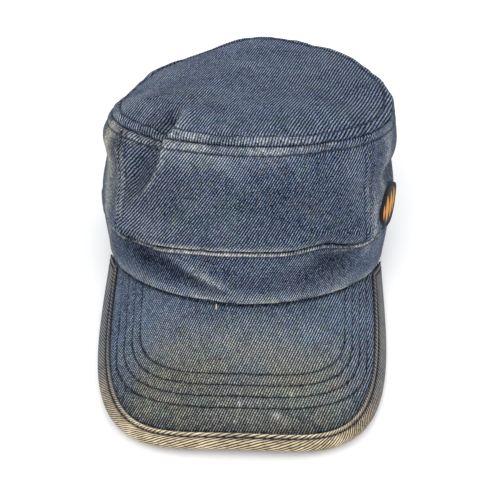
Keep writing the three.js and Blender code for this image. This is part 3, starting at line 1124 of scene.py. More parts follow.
class Paint(Nodes):
    """The nodes of a material, with the steps that its finishes share."""

    BUMP_STRENGTH = 0.8
    GLOSS = 0.02

    def __init__(self, name: str) -> None:
        """Makes an empty material.

        Args:
            name: Its name.
        """
        self.material = bpy.data.materials.new(name)
        self.material.use_nodes = True
        super().__init__(self.material.node_tree)

    def mixed(self, first: Value, second: Value, share: Value) -> Sock:
        """The first colour, or the second one where the share is 1."""
        values = {"Factor_Float": share, "A_Color": first, "B_Color": second}
        return self.node("ShaderNodeMix", {"data_type": "RGBA"}, values, "Result_Color")

    def noise(self, place: Sock, scale: float, detail: float = 2.0) -> Sock:
        """Cloudy noise from 0 to 1."""
        values = {"Vector": place, "Scale": scale, "Detail": detail, "Roughness": 0.6}
        return self.node("ShaderNodeTexNoise", {}, values, "Fac")

    def chance(self, first: Sock, second: Value = 0.0) -> Sock:
        """A random number from 0 to 1 for each pair of whole numbers."""
        place = self.node("ShaderNodeCombineXYZ", {}, {"X": first, "Y": second}, "Vector")
        return self.node("ShaderNodeTexWhiteNoise", {"noise_dimensions": "2D"}, {"Vector": place}, "Value")

    def mark(self, mark: Mark) -> Sock:
        """What the cloth is marked with."""
        return self.node("ShaderNodeAttribute", {"attribute_name": mark.value}, {}, "Fac")

    def object_place(self) -> Sock:
        """The place in space."""
        return self.node("ShaderNodeTexCoord", {}, {}, "Object")

    def weave_place(self) -> Sock:
        """The place on the cloth, in metres."""
        return self.node("ShaderNodeUVMap", {"uv_map": "weave"}, {}, "UV")

    def parts(self, place: Sock) -> tuple[Sock, Sock]:
        """The first two numbers of a place in metres, in millimetres."""
        x, y = (self.node("ShaderNodeSeparateXYZ", {}, {"Vector": place}, axis) for axis in "XY")
        return x / MM, y / MM

    def finish(
        self, colour: Sock, roughness: float, bump: Sock, distance: float, sheen: float
    ) -> bpy.types.Material:
        """Joins the shader up.

        Args:
            colour: The base colour.
            roughness: The roughness.
            bump: The height that the light reads, from 0 to 1.
            distance: How high 1 is, in metres.
            sheen: How much the fibres catch the light.

        Returns:
            The material.
        """
        values = {"Strength": self.BUMP_STRENGTH, "Distance": distance, "Height": bump}
        normal = self.node("ShaderNodeBump", {}, values, "Normal")
        values = {
            "Base Color": colour,
            "Roughness": roughness,
            "Normal": normal,
            "Specular IOR Level": self.GLOSS,
            "Sheen Weight": sheen,
            "Sheen Roughness": 0.5,
        }
        shader = self.node("ShaderNodeBsdfPrincipled", {}, values, "BSDF")
        self.node("ShaderNodeOutputMaterial", {}, {"Surface": shader}, "")
        return self.material


@dataclass(frozen=True)
class Twill:
    """The slanting lines of a twill weave, each made of short pale floats, in millimetres."""

    pitch: float = 1.32
    slant: float = 60.0
    float_length: float = 1.5
    wander: float = 0.4
    sharpness: float = 4.6
    dash: float = 0.56
    wander_scale: float = 160.0

    def draw(self, nodes: Paint) -> tuple[Sock, Sock]:
        """Adds the weave.

        Args:
            nodes: The material's nodes.

        Returns:
            The height of the lines, from 0 to 1, and each float's own brightness, from 0 to 1.
        """
        place = nodes.weave_place()
        u, v = nodes.parts(place)
        cosine, sine = math.cos(math.radians(self.slant)), math.sin(math.radians(self.slant))
        along = u * cosine + v * sine
        aside = nodes.noise(place, self.wander_scale) - 0.5
        across = v * cosine - u * sine + aside * (2.0 * self.wander)
        line = across / self.pitch
        number = line.floor()
        start = along / self.float_length + nodes.chance(number) * 7.0
        piece = start.floor()
        ends = (start - piece).hump()
        height = (line - number).hump() ** self.sharpness * (1.0 - self.dash + self.dash * ends)
        return height, nodes.chance(number, piece)


@dataclass(frozen=True)
class Denim:
    """Washed twill, paler where it is worn, with painted shade in its seams, rows and fold hollows."""

    name: str
    dark: Colour = (0, 14, 34)
    pale: Colour = (177, 199, 239)
    cream: Colour = (222, 216, 184)
    worn: Colour = (250, 246, 232)
    soiled: Colour = (214, 206, 176)
    soiled_dark: Colour = (20, 22, 26)
    watery: Colour = (158, 196, 202)
    greenish: Colour = (150, 172, 142)
    reddish: Colour = (170, 142, 148)
    # Painted shade: the dark that the shade mark mixes in at seam gaps, sunk rows, fold hollows and under
    # overhangs.
    seam: Colour = (5, 11, 24)
    reverse: Colour = (140, 150, 168)
    twill: Twill = Twill()
    fade: float = 0.305
    soil_share: float = 0.8
    fuzz: float = 0.02
    mottle: float = 0.0
    # How fine each kind of noise is: the larger, the finer.
    broad_scale: float = 24.0
    water_scale: float = 45.0
    blotch_scale: float = 80.0
    tint_scale: float = 190.0
    fleck_scale: float = 420.0
    grain_scale: float = 1550.0

    def make(self) -> bpy.types.Material:
        """Makes the material.

        Returns:
            The material.
        """
        nodes = Paint(self.name)
        height, chance = self.twill.draw(nodes)
        place = nodes.object_place()
        broad = nodes.noise(place, self.broad_scale, 3.0) - 0.5
        blotch = nodes.noise(place, self.blotch_scale, 3.0) - 0.5
        fleck = nodes.noise(place, self.fleck_scale) - 0.5
        grain = nodes.noise(place, self.grain_scale, 0.0) - 0.5
        tint, water = nodes.noise(place, self.tint_scale), nodes.noise(place, self.water_scale)
        wear, shade = nodes.mark(Mark.WEAR), nodes.mark(Mark.SHADE)
        soil, inside, faded = nodes.mark(Mark.SOIL), nodes.mark(Mark.INSIDE), nodes.mark(Mark.FADE)
        soiled = (soil + blotch * 0.7 * soil.eased(0.0, 0.3)).clamped() * self.soil_share
        uneven = 0.3 * chance + grain + broad * 0.5 + blotch * 0.26 + fleck * self.mottle
        strength = self.fade + uneven + wear * 0.3 + faded * 0.42
        light = height * strength.clamped() + grain * 0.12 + broad * 0.03 + wear * 0.04 + faded * 0.02
        dark = nodes.mixed(paint(self.dark), paint(self.soiled_dark), soiled)
        pale = nodes.mixed(paint(self.pale), paint(self.soiled), soiled)
        pale = nodes.mixed(pale, paint(self.watery), water.eased(0.48, 0.68) * 0.4)
        pale = nodes.mixed(pale, paint(self.greenish), tint.eased(0.52, 0.72) * 0.6)
        pale = nodes.mixed(pale, paint(self.reddish), tint.eased(0.46, 0.3) * 0.5)
        creamy = (chance.eased(0.6, 1.0) * 0.25 + faded * 0.22).clamped()
        pale = nodes.mixed(pale, paint(self.cream), creamy)
        colour = nodes.mixed(dark, pale, light.clamped())
        mottled = height * 0.6 + (grain * 2.4 + 0.4).clamped() * 0.4
        frayed = (wear * mottled * (0.25 + 0.9 * chance + fleck * 1.6)).clamped()
        colour = nodes.mixed(colour, paint(self.worn), frayed)
        backing = nodes.mixed(paint(self.reverse), paint(self.dark), (height * chance * 0.75).clamped())
        colour = nodes.mixed(colour, backing, inside)
        # Painted shade: darkens towards the seam colour wherever the shade mark lies.
        shaded = (shade * (1.0 - 0.35 * chance)).clamped() * 0.92
        colour = nodes.mixed(colour, paint(self.seam), shaded)
        bump = height * (0.5 + 0.5 * chance) + grain * 0.4
        return nodes.finish(colour, 0.92, bump, 0.0002, self.fuzz)


@dataclass(frozen=True)
class BindingCloth:
    """The bias strip on the peak's edge, worn down to its tan and cream yarns at the front."""

    name: str = "worn_binding_cloth"
    cream: Colour = (236, 220, 188)
    tan: Colour = (164, 146, 118)
    fresh: Colour = (126, 126, 118)
    line: Colour = (42, 30, 14)
    fresh_line: Colour = (40, 48, 76)
    # Painted shade for the stitched groove and the strip's edge.
    groove_shadow: Colour = (22, 24, 36)
    twill: Twill = Twill(pitch=1.42, slant=16.0, float_length=7.0, wander=0.3, sharpness=1.7, dash=0.25)
    soft_scale: float = 60.0
    grain_scale: float = 1000.0

    def make(self) -> bpy.types.Material:
        """Makes the material.

        Returns:
            The material.
        """
        nodes = Paint(self.name)
        height, chance = self.twill.draw(nodes)
        place = nodes.object_place()
        soft = nodes.noise(place, self.soft_scale, 3.0)
        grain = nodes.noise(place, self.grain_scale, 1.0)
        wear, shade = nodes.mark(Mark.WEAR), nodes.mark(Mark.SHADE)
        soil, inside = nodes.mark(Mark.SOIL), nodes.mark(Mark.INSIDE)
        tone = (soft * 0.9 + chance * 0.35 + wear * 0.3 + soil * 0.45 - 0.55).clamped()
        worn = nodes.mixed(paint(self.tan), paint(self.cream), tone)
        light = nodes.mixed(paint(self.fresh), worn, soil)
        dark = nodes.mixed(paint(self.fresh_line), paint(self.line), soil)
        raised = height * (1.5 + 0.4 * chance) + (soft - 0.5) + (grain - 0.5) * 0.5 - 0.36
        colour = nodes.mixed(dark, light, (raised + wear * 0.2).clamped())
        colour = nodes.mixed(colour, paint(self.fresh), inside * 0.6)
        # Painted shade in the groove and at the edge.
        colour = nodes.mixed(colour, paint(self.groove_shadow), (shade * 0.95).clamped())
        bump = height * (0.6 + 0.4 * chance) + grain * 0.3
        return nodes.finish(colour, 0.9, bump, 0.0003, 0.1)


@dataclass(frozen=True)
class Thread:
    """Sewing thread, with its twist."""

    name: str
    colour: Colour
    shadow: Colour
    fibre_scale: float = 2600.0
    fade_scale: float = 90.0

    def make(self) -> bpy.types.Material:
        """Makes the material.

        Returns:
            The material.
        """
        nodes = Paint(self.name)
        place = nodes.object_place()
        fibre = nodes.noise(place, self.fibre_scale, 1.0)
        fade = nodes.noise(place, self.fade_scale)
        colour = nodes.mixed(paint(self.shadow), paint(self.colour), (fibre * 0.6 + fade * 0.6).clamped())
        return nodes.finish(colour, 0.7, fibre, 0.00006, 0.1)


@dataclass(frozen=True)
class PatchCloth:
    """The patch: black cloth with a row of solid orange lozenges sewn on it."""

    name: str = "patch_cloth"
    ground: Colour = (30, 31, 34)
    # Painted highlight on the ribs' crowns, varied by grain.
    rib: Colour = (58, 60, 62)
    # Lit and shaded copies of the orange thread: each satin stitch is painted lighter across its middle and
    # darker at its ends, with some random grain.
    motif: Colour = (236, 164, 76)
    motif_shaded: Colour = (172, 108, 34)
    lozenge: float = 7.4
    lozenge_height: float = 21.0
    bulge: float = 1.2
    border_start: float = 15.4
    satin_per_mm: float = 1.6
    ribs_per_mm: float = 1.1
    grain_scale: float = 900.0

    def make(self) -> bpy.types.Material:
        """Makes the material.

        Returns:
            The material.
        """
        nodes = Paint(self.name)
        u, v = nodes.parts(nodes.weave_place())
        across = u / self.lozenge + 0.5
        beside = ((across - across.floor()) - 0.5).size() * 2.0
        above = v.size() * (2.0 / self.lozenge_height)
        shape = beside**self.bulge + above**self.bulge
        motif = 1.0 - shape.eased(0.8, 0.92)
        within = 1.0 - u.size().eased(self.border_start, self.border_start + 0.5)
        stitch, ribs = v * self.satin_per_mm, u * self.ribs_per_mm
        satin = (stitch - stitch.floor()).hump()
        rib = (ribs - ribs.floor()).hump()
        grain = nodes.noise(nodes.object_place(), self.grain_scale, 1.0)
        # Painted highlight on the ribs, and painted highlight and shade across each satin stitch.
        ground = nodes.mixed(paint(self.ground), paint(self.rib), rib * grain)
        thread = nodes.mixed(paint(self.motif_shaded), paint(self.motif), satin * 0.7 + grain * 0.3)
        sewn = motif * within * (1.0 - nodes.mark(Mark.SHADE))
        colour = nodes.mixed(ground, thread, sewn)
        return nodes.finish(colour, 0.8, satin * sewn + rib * 0.3, 0.00025, 0.08)


@dataclass(frozen=True)
class FloorPaint:
    """The pale floor."""

    name: str = "pale_floor"
    colour: Colour = (250, 250, 250)
    cloudy: Colour = (248.75, 248.75, 248.75)
    cloud_scale: float = 3.0

    def make(self) -> bpy.types.Material:
        """Makes the material.

        Returns:
            The material.
        """
        nodes = Paint(self.name)
        cloud = nodes.noise(nodes.object_place(), self.cloud_scale)
        colour = nodes.mixed(paint(self.colour), paint(self.cloudy), cloud)
        return nodes.finish(colour, 0.95, cloud, 0.0, 0.0)


class StitchTree(Nodes):
    """The Geometry Nodes that lay stitches along lines, with their sizes as inputs."""

    SIZES = {
        "Pitch": "NodeSocketFloat",
        "Length": "NodeSocketFloat",
        "Width": "NodeSocketFloat",
        "Unevenness": "NodeSocketFloat",
        "Seed": "NodeSocketInt",
        "Finish": "NodeSocketMaterial",
    }
    STITCH_SEGMENTS, STITCH_RINGS = 6, 5

    def __init__(self) -> None:
        """Builds the tree."""
        group = bpy.data.node_groups.new("stitch_rows", "GeometryNodeTree")
        super().__init__(group)
        group.interface.new_socket("Geometry", in_out="INPUT", socket_type="NodeSocketGeometry")
        for name, kind in self.SIZES.items():
            group.interface.new_socket(name, in_out="INPUT", socket_type=kind)
        group.interface.new_socket("Geometry", in_out="OUTPUT", socket_type="NodeSocketGeometry")
        source = group.nodes.new("NodeGroupInput")
        size = {name: Sock(self, self.pick(source.outputs, name)) for name in self.SIZES}
        lines = Sock(self, self.pick(source.outputs, "Geometry"))
        curve = self.node("GeometryNodeMeshToCurve", {}, {"Mesh": lines}, "Curve")
        values = {"Curve": curve, "Length": size["Pitch"]}
        spots = self.node("GeometryNodeResampleCurve", {"mode": "LENGTH"}, values, "Curve")
        values = {"Segments": self.STITCH_SEGMENTS, "Rings": self.STITCH_RINGS, "Radius": 0.5}
        ball = self.node("GeometryNodeMeshUVSphere", {}, values, "Mesh")
        values = {"X": size["Length"], "Y": size["Width"], "Z": size["Width"]}
        scale = self.node("ShaderNodeCombineXYZ", {}, values, "Vector")
        stitch = self.node("GeometryNodeTransform", {}, {"Geometry": ball, "Scale": scale}, "Geometry")
        tangent = self.node("GeometryNodeInputTangent", {}, {}, "Tangent")
        turn = self.node("FunctionNodeAlignRotationToVector", {"axis": "X"}, {"Vector": tangent}, "Rotation")
        uneven = size["Unevenness"]
        values = {"Min_001": 1.0 - uneven, "Max_001": 1.0 + uneven, "Seed": size["Seed"]}
        drawn = self.node("FunctionNodeRandomValue", {"data_type": "FLOAT"}, values, "Value_001")
        values = {"Points": spots, "Instance": stitch, "Rotation": turn, "Scale": drawn}
        laid = self.node("GeometryNodeInstanceOnPoints", {}, values, "Instances")
        real = self.node("GeometryNodeRealizeInstances", {}, {"Geometry": laid}, "Geometry")
        smooth = self.node("GeometryNodeSetShadeSmooth", {}, {"Geometry": real}, "Geometry")
        values = {"Geometry": smooth, "Material": size["Finish"]}
        dressed = self.node("GeometryNodeSetMaterial", {}, values, "Geometry")
        self.node("NodeGroupOutput", {}, {"Geometry": dressed}, "")


@dataclass
class Stitching:
    """Rows of stitches that make up one piece, with their sizes in millimetres."""

    name: str
    slot: str
    material: bpy.types.Material
    tree: StitchTree
    pitch: float = 3.4
    length: float = 2.9
    width: float = 0.62
    unevenness: float = 0.12
    seed: int = 5
    lines: list[np.ndarray] = field(default_factory=list)
    closed: list[bool] = field(default_factory=list)

    def add(self, line: np.ndarray, closes: bool = False) -> None:
        """Adds a row that follows a line of points."""
        self.lines.append(line[:-1] if closes else line)
        self.closed.append(closes)

    def build(self) -> bpy.types.Object:
        """Lays the stitches and makes them one plain mesh.

        Returns:
            The piece.
        """
        edges: list[tuple[int, int]] = []
        first = 0
        for line, closes in zip(self.lines, self.closed):
            edges += [(first + k, first + k + 1) for k in range(len(line) - 1)]
            if closes:
                edges.append((first + len(line) - 1, first))
            first += len(line)
        mesh = bpy.data.meshes.new(self.name)
        mesh.from_pydata(in_frame(np.concatenate(self.lines)).tolist(), edges, [])
        piece = new_object(self.name, mesh)
        modifier = piece.modifiers.new("stitches", "NODES")
        modifier.node_group = self.tree.tree
        sizes = {
            "Pitch": self.pitch * MM,
            "Length": self.length * MM,
            "Width": self.width * MM,
            "Unevenness": self.unevenness,
            "Seed": self.seed,
            "Finish": self.material,
        }
        for item in self.tree.tree.interface.items_tree:
            if item.in_out == "INPUT" and item.name in sizes:
                modifier[item.identifier] = sizes[item.name]
        evaluated = piece.evaluated_get(bpy.context.evaluated_depsgraph_get())
        plain = bpy.data.meshes.new_from_object(evaluated)
        piece.modifiers.remove(modifier)
        piece.data = plain
        plain.name = self.name
        return piece


def settle(piece: bpy.types.Object, slot: str, *nodes: str) -> None:
    """Puts a finished piece on the cap's body.

    Args:
        piece: The piece.
        slot: The material slot that it takes its finish from; not used.
        nodes: The plain solids that it stands for.
    """
    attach(piece, BODY)
    if nodes:
        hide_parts(*nodes)
    log.info("%s: %d faces", piece.name, len(piece.data.polygons))


def sheared(weave: np.ndarray, start: float, end: float, amount: float | np.ndarray) -> np.ndarray:
    """The weave's places with its lines lying flatter towards both sides.

    Args:
        weave: The places, across and along the cloth, in millimetres.
        start: How far from the middle the lines start to turn.
        end: How far from the middle they're turned by the whole amount.
        amount: How much flatter their slope is there.

    Returns:
        The places moved along the cloth.
    """
    across = weave[..., 0]
    beyond = np.maximum(np.abs(across) - start, 0.0)
    lift = np.sign(across) * 0.5 * amount * beyond**2 / (end - start)
    return np.stack([across, weave[..., 1] + lift], axis=-1)


@dataclass
class Wall:
    """The crown's wall: the front panel and the two side panels."""

    shape: CrownShape
    crease: Crease
    material: bpy.types.Material
    seam_angle: float = 54.0
    seam_gap: float = 0.1
    above_band: float = 1e-6
    soft_push: float = 0.45
    pucker_push: float = 0.16
    soil: float = 0.12
    # Where the front panel's weave starts and ends turning flatter, and by how much.
    turned_weave: tuple[float, float, float] = (10.0, 80.0, 0.7)
    to_top: SewnEdge = SewnEdge(
        roll=1.15, roll_width=0.9, ridge=0.55, ridge_end=5.4, rows=(5.4,), wear=0.34, wear_end=8.0
    )
    to_band: SewnEdge = SewnEdge(
        roll=1.3, roll_width=1.2, ridge=0.8, ridge_end=9.0, pucker=0.3, wear=0.85, wear_end=4.2
    )
    right_felled: SewnEdge = SewnEdge(
        roll=0.5, roll_width=0.6, ridge=0.6, ridge_end=6.4, rows=(6.2,), sink=0.3, pucker=0.4,
        wear=0.24, wear_end=6.4, line=0.15, row_shade=0.1,
    )
    left_felled: SewnEdge = SewnEdge(
        roll=0.5, roll_width=0.6, ridge=0.6, ridge_end=8.8, rows=(3.4, 8.6), sink=0.35, pucker=0.7,
        wear=0.3, wear_end=8.0, line=0.2, start=2.6, row_shade=0.08,
    )
    right_side: SewnEdge = SewnEdge(
        roll=0.6, roll_width=0.6, ridge=0.5, ridge_end=4.2, pucker=0.4, wear=0.4, wear_end=3.6, line=0.3
    )
    left_side: SewnEdge = SewnEdge(roll=0.5, roll_width=1.0, ridge=0.1, ridge_end=3.0, wear=0.1, line=0.3)
    back: SewnEdge = SewnEdge(roll=0.7, roll_width=0.7, ridge=0.5, ridge_end=3.2, rows=(3.0,), wear=0.4)

    def panel(
        self, start: float, end: float, across: np.ndarray, left: SewnEdge, right: SewnEdge
    ) -> Cloth:
        """Shapes one panel.

        Args:
            start: The angle of its left edge, in degrees.
            end: The angle of its right edge.
            across: The shares of its width at which its columns lie.
            left: How its left edge is sewn.
            right: How its right edge is sewn.

        Returns:
            The panel.
        """
        low, high = math.radians(start + self.seam_gap), math.radians(end - self.seam_gap)
        shares = graded(58.0, 0.85, 0.42, 7.6, 8.4)
        level = self.shape.band_level + self.above_band + (1.0 - self.shape.band_level) * shares
        angle, level = np.meshgrid(low + (high - low) * across, np.minimum(level, 1.0))
        points, marks = self.shape.wall(angle, level)
        cloth = Cloth(points, CROWN_CLOTH)
        cloth.take(marks)
        cloth.lean(Side.TOP, unit(outward(angle) + UP))
        if start < 0.0 < end:
            self.crease.on_wall(cloth, angle)
            cloth.weave = sheared(cloth.weave, *self.turned_weave)
        self.to_top.press(cloth, Side.TOP)
        self.to_band.press(cloth, Side.BOTTOM)
        left.press(cloth, Side.LEFT)
        right.press(cloth, Side.RIGHT)
        cloth.push += self.soft_push * SOFT.at(points) + self.pucker_push * PUCKERS.at(points)
        cloth.marks[Mark.SOIL] += self.soil + 0.14 * BROAD.at(points)
        return cloth

    def build(self, stitches: Stitching) -> None:
        """Makes the three panels and their rows of stitches.

        Args:
            stitches: The stitches that the rows are added to.
        """
        turn = self.seam_angle
        front_shares = graded(166.0, 0.85, 0.5, 8.0, 12.0)
        left_shares = graded(205.0, 1.15, 0.5, 4.0, 5.0)
        right_shares = graded(205.0, 1.15, 0.5, 5.0, 5.0)
        front = self.panel(-turn, turn, front_shares, self.right_felled, self.left_felled)
        left = self.panel(turn, 180.0, left_shares, self.left_side, self.back)
        right = self.panel(-180.0, -turn, right_shares, self.back, self.right_side)
        panels = {"front_panel": front, "side_panel_left": left, "side_panel_right": right}
        for name, cloth in panels.items():
            settle(cloth.build(f"{name}_cloth", self.material), "crown_denim", name)
            self.to_top.sew(cloth, Side.TOP, stitches)
        self.right_felled.sew(front, Side.LEFT, stitches)
        self.left_felled.sew(front, Side.RIGHT, stitches)
        self.back.sew(left, Side.RIGHT, stitches)
        self.back.sew(right, Side.LEFT, stitches)


@dataclass
class Top:
    """The crown's top panel, whose edge rolls over to the seam."""

    shape: CrownShape
    crease: Crease
    material: bpy.types.Material
    columns: int = 480
    soft_push: float = 0.6
    pucker_push: float = 0.14
    soil: float = 0.1
    # The low folds that fan out from the front seam: how far apart, how high, how worn, how far in.
    fan_step: float = 12.0
    fan_height: float = 0.3
    fan_fade: float = 0.34
    fan_inward: float = 17.0
    fan_reach: float = 15.0
    # How much flatter the weave lies at the panel's left and right, and how much closer at its left.
    turned_end: float = 75.0
    turned_left: float = 3.6
    turned_right: float = 0.4
    closer_left: float = 0.005
    sewn: SewnEdge = SewnEdge(
        roll=1.15, roll_width=0.9, ridge=0.6, ridge_end=6.3, rows=(6.3,), wear=0.14, wear_end=5.5
    )

    def flattened(self, points: np.ndarray) -> np.ndarray:
        """The weave's place at each point: each column laid out flat, away from the middle.

        Args:
            points: The panel's grid, whose last row is its middle.

        Returns:
            The places, across and along the panel, in millimetres.
        """
        centre = points[-1, 0]
        level = points[0, :, :2] - centre[:2]
        far = travelled(points, 0)
        places = unit(level)[None] * (far[-1:] - far)[..., None] + centre[:2]
        to_left = np.maximum(places[..., 0], 0.0)
        amount = np.where(to_left > 0.0, self.turned_left, self.turned_right)
        places = sheared(places, 0.0, self.turned_end, amount)
        places[..., 0] += self.closer_left * to_left**2
        return places

    def build(self, stitches: Stitching) -> None:
        """Makes the panel and its row of stitches.

        Args:
            stitches: The stitches that its rows are added to.
        """
        turns = np.linspace(-np.pi, np.pi, self.columns + 1)
        angle, reach = np.meshgrid(turns, 1.0 - graded(90.0, 1.5, 0.45, 10.0, 0.0))
        points = self.shape.top(angle, reach)
        points[-1] = points[-1, 0]
        cloth = Cloth(points, CROWN_CLOTH, closes=True, ends_in_point=True)
        cloth.weave = self.flattened(points)
        cloth.lean(Side.BOTTOM, unit(outward(angle) + UP))
        inward = cloth.away(Side.BOTTOM)
        fan = np.sin(2.0 * np.pi * (points[..., 0] + 8.0 * SOFT.at(points) + 3.0) / self.fan_step)
        fan = fan * bell((inward - self.fan_inward) / self.fan_reach) * ease(-points[..., 1], -10.0, 15.0)
        cloth.push += self.fan_height * fan
        cloth.marks[Mark.FADE] += self.fan_fade * np.maximum(fan, 0.0)
        cloth.tone(points[..., 0], points[..., 1], self.shape.top_tones)
        self.crease.on_top(cloth)
        self.sewn.press(cloth, Side.BOTTOM)
        cloth.push += self.soft_push * SOFT.at(points) + self.pucker_push * PUCKERS.at(points)
        cloth.marks[Mark.SOIL] += self.soil + 0.12 * BROAD.at(points)
        settle(cloth.build("crown_top_cloth", self.material), "crown_denim", "crown_top")
        self.sewn.sew(cloth, Side.BOTTOM, stitches, closes=True)


@dataclass
class Band:
    """The band round the head opening, with a worn lower edge."""

    shape: CrownShape
    material: bpy.types.Material
    columns: int = 500
    soft_push: float = 0.4
    soil: float = 0.06
    rubbed_at: float = 3.0
    rubbed_width: float = 4.0
    to_wall: SewnEdge = SewnEdge(
        roll=0.7, roll_width=0.5, ridge=0.75, ridge_end=2.5, rows=(3.1,), sink=0.6, pucker=0.4,
        wear=1.1, wear_end=2.8, row_shade=0.5,
    )
    rim: SewnEdge = SewnEdge(
        roll=1.6, roll_width=1.2, ridge=0.5, ridge_end=5.0, pucker=0.3, wear=0.85, wear_end=3.6, line=0.7
    )

    def build(self, stitches: Stitching) -> None:
        """Makes the band and its row of stitches.

        Args:
            stitches: The stitches that its rows are added to.
        """
        turns = np.linspace(-np.pi, np.pi, self.columns + 1)
        shares = graded(32.0, 0.8, 0.4, 5.0, 5.0)
        angle, level = np.meshgrid(turns, self.shape.band_level * shares)
        points, marks = self.shape.wall(angle, level)
        points[0, :, 2] = self.shape.rim_height(points[0, :, 0], points[0, :, 1], turns)
        cloth = Cloth(points, BAND_CLOTH, closes=True)
        cloth.lean(Side.BOTTOM, outward(angle), 1.5)
        cloth.take(marks)
        self.to_wall.press(cloth, Side.TOP)
        self.rim.press(cloth, Side.BOTTOM)
        rubbed = 0.7 + 0.5 * SOFT.at(points) + 0.3 * np.cos(angle)
        above_rim = cloth.away(Side.BOTTOM)
        cloth.marks[Mark.FADE] += rubbed * bell((above_rim - self.rubbed_at) / self.rubbed_width)
        cloth.push += self.soft_push * SOFT.at(points) * ease(above_rim, 0.0, 6.0)
        cloth.marks[Mark.SOIL] += self.soil + 0.1 * BROAD.at(points)
        settle(cloth.build("band_cloth", self.material), "crown_denim", "band")
        self.to_wall.sew(cloth, Side.TOP, stitches, closes=True)


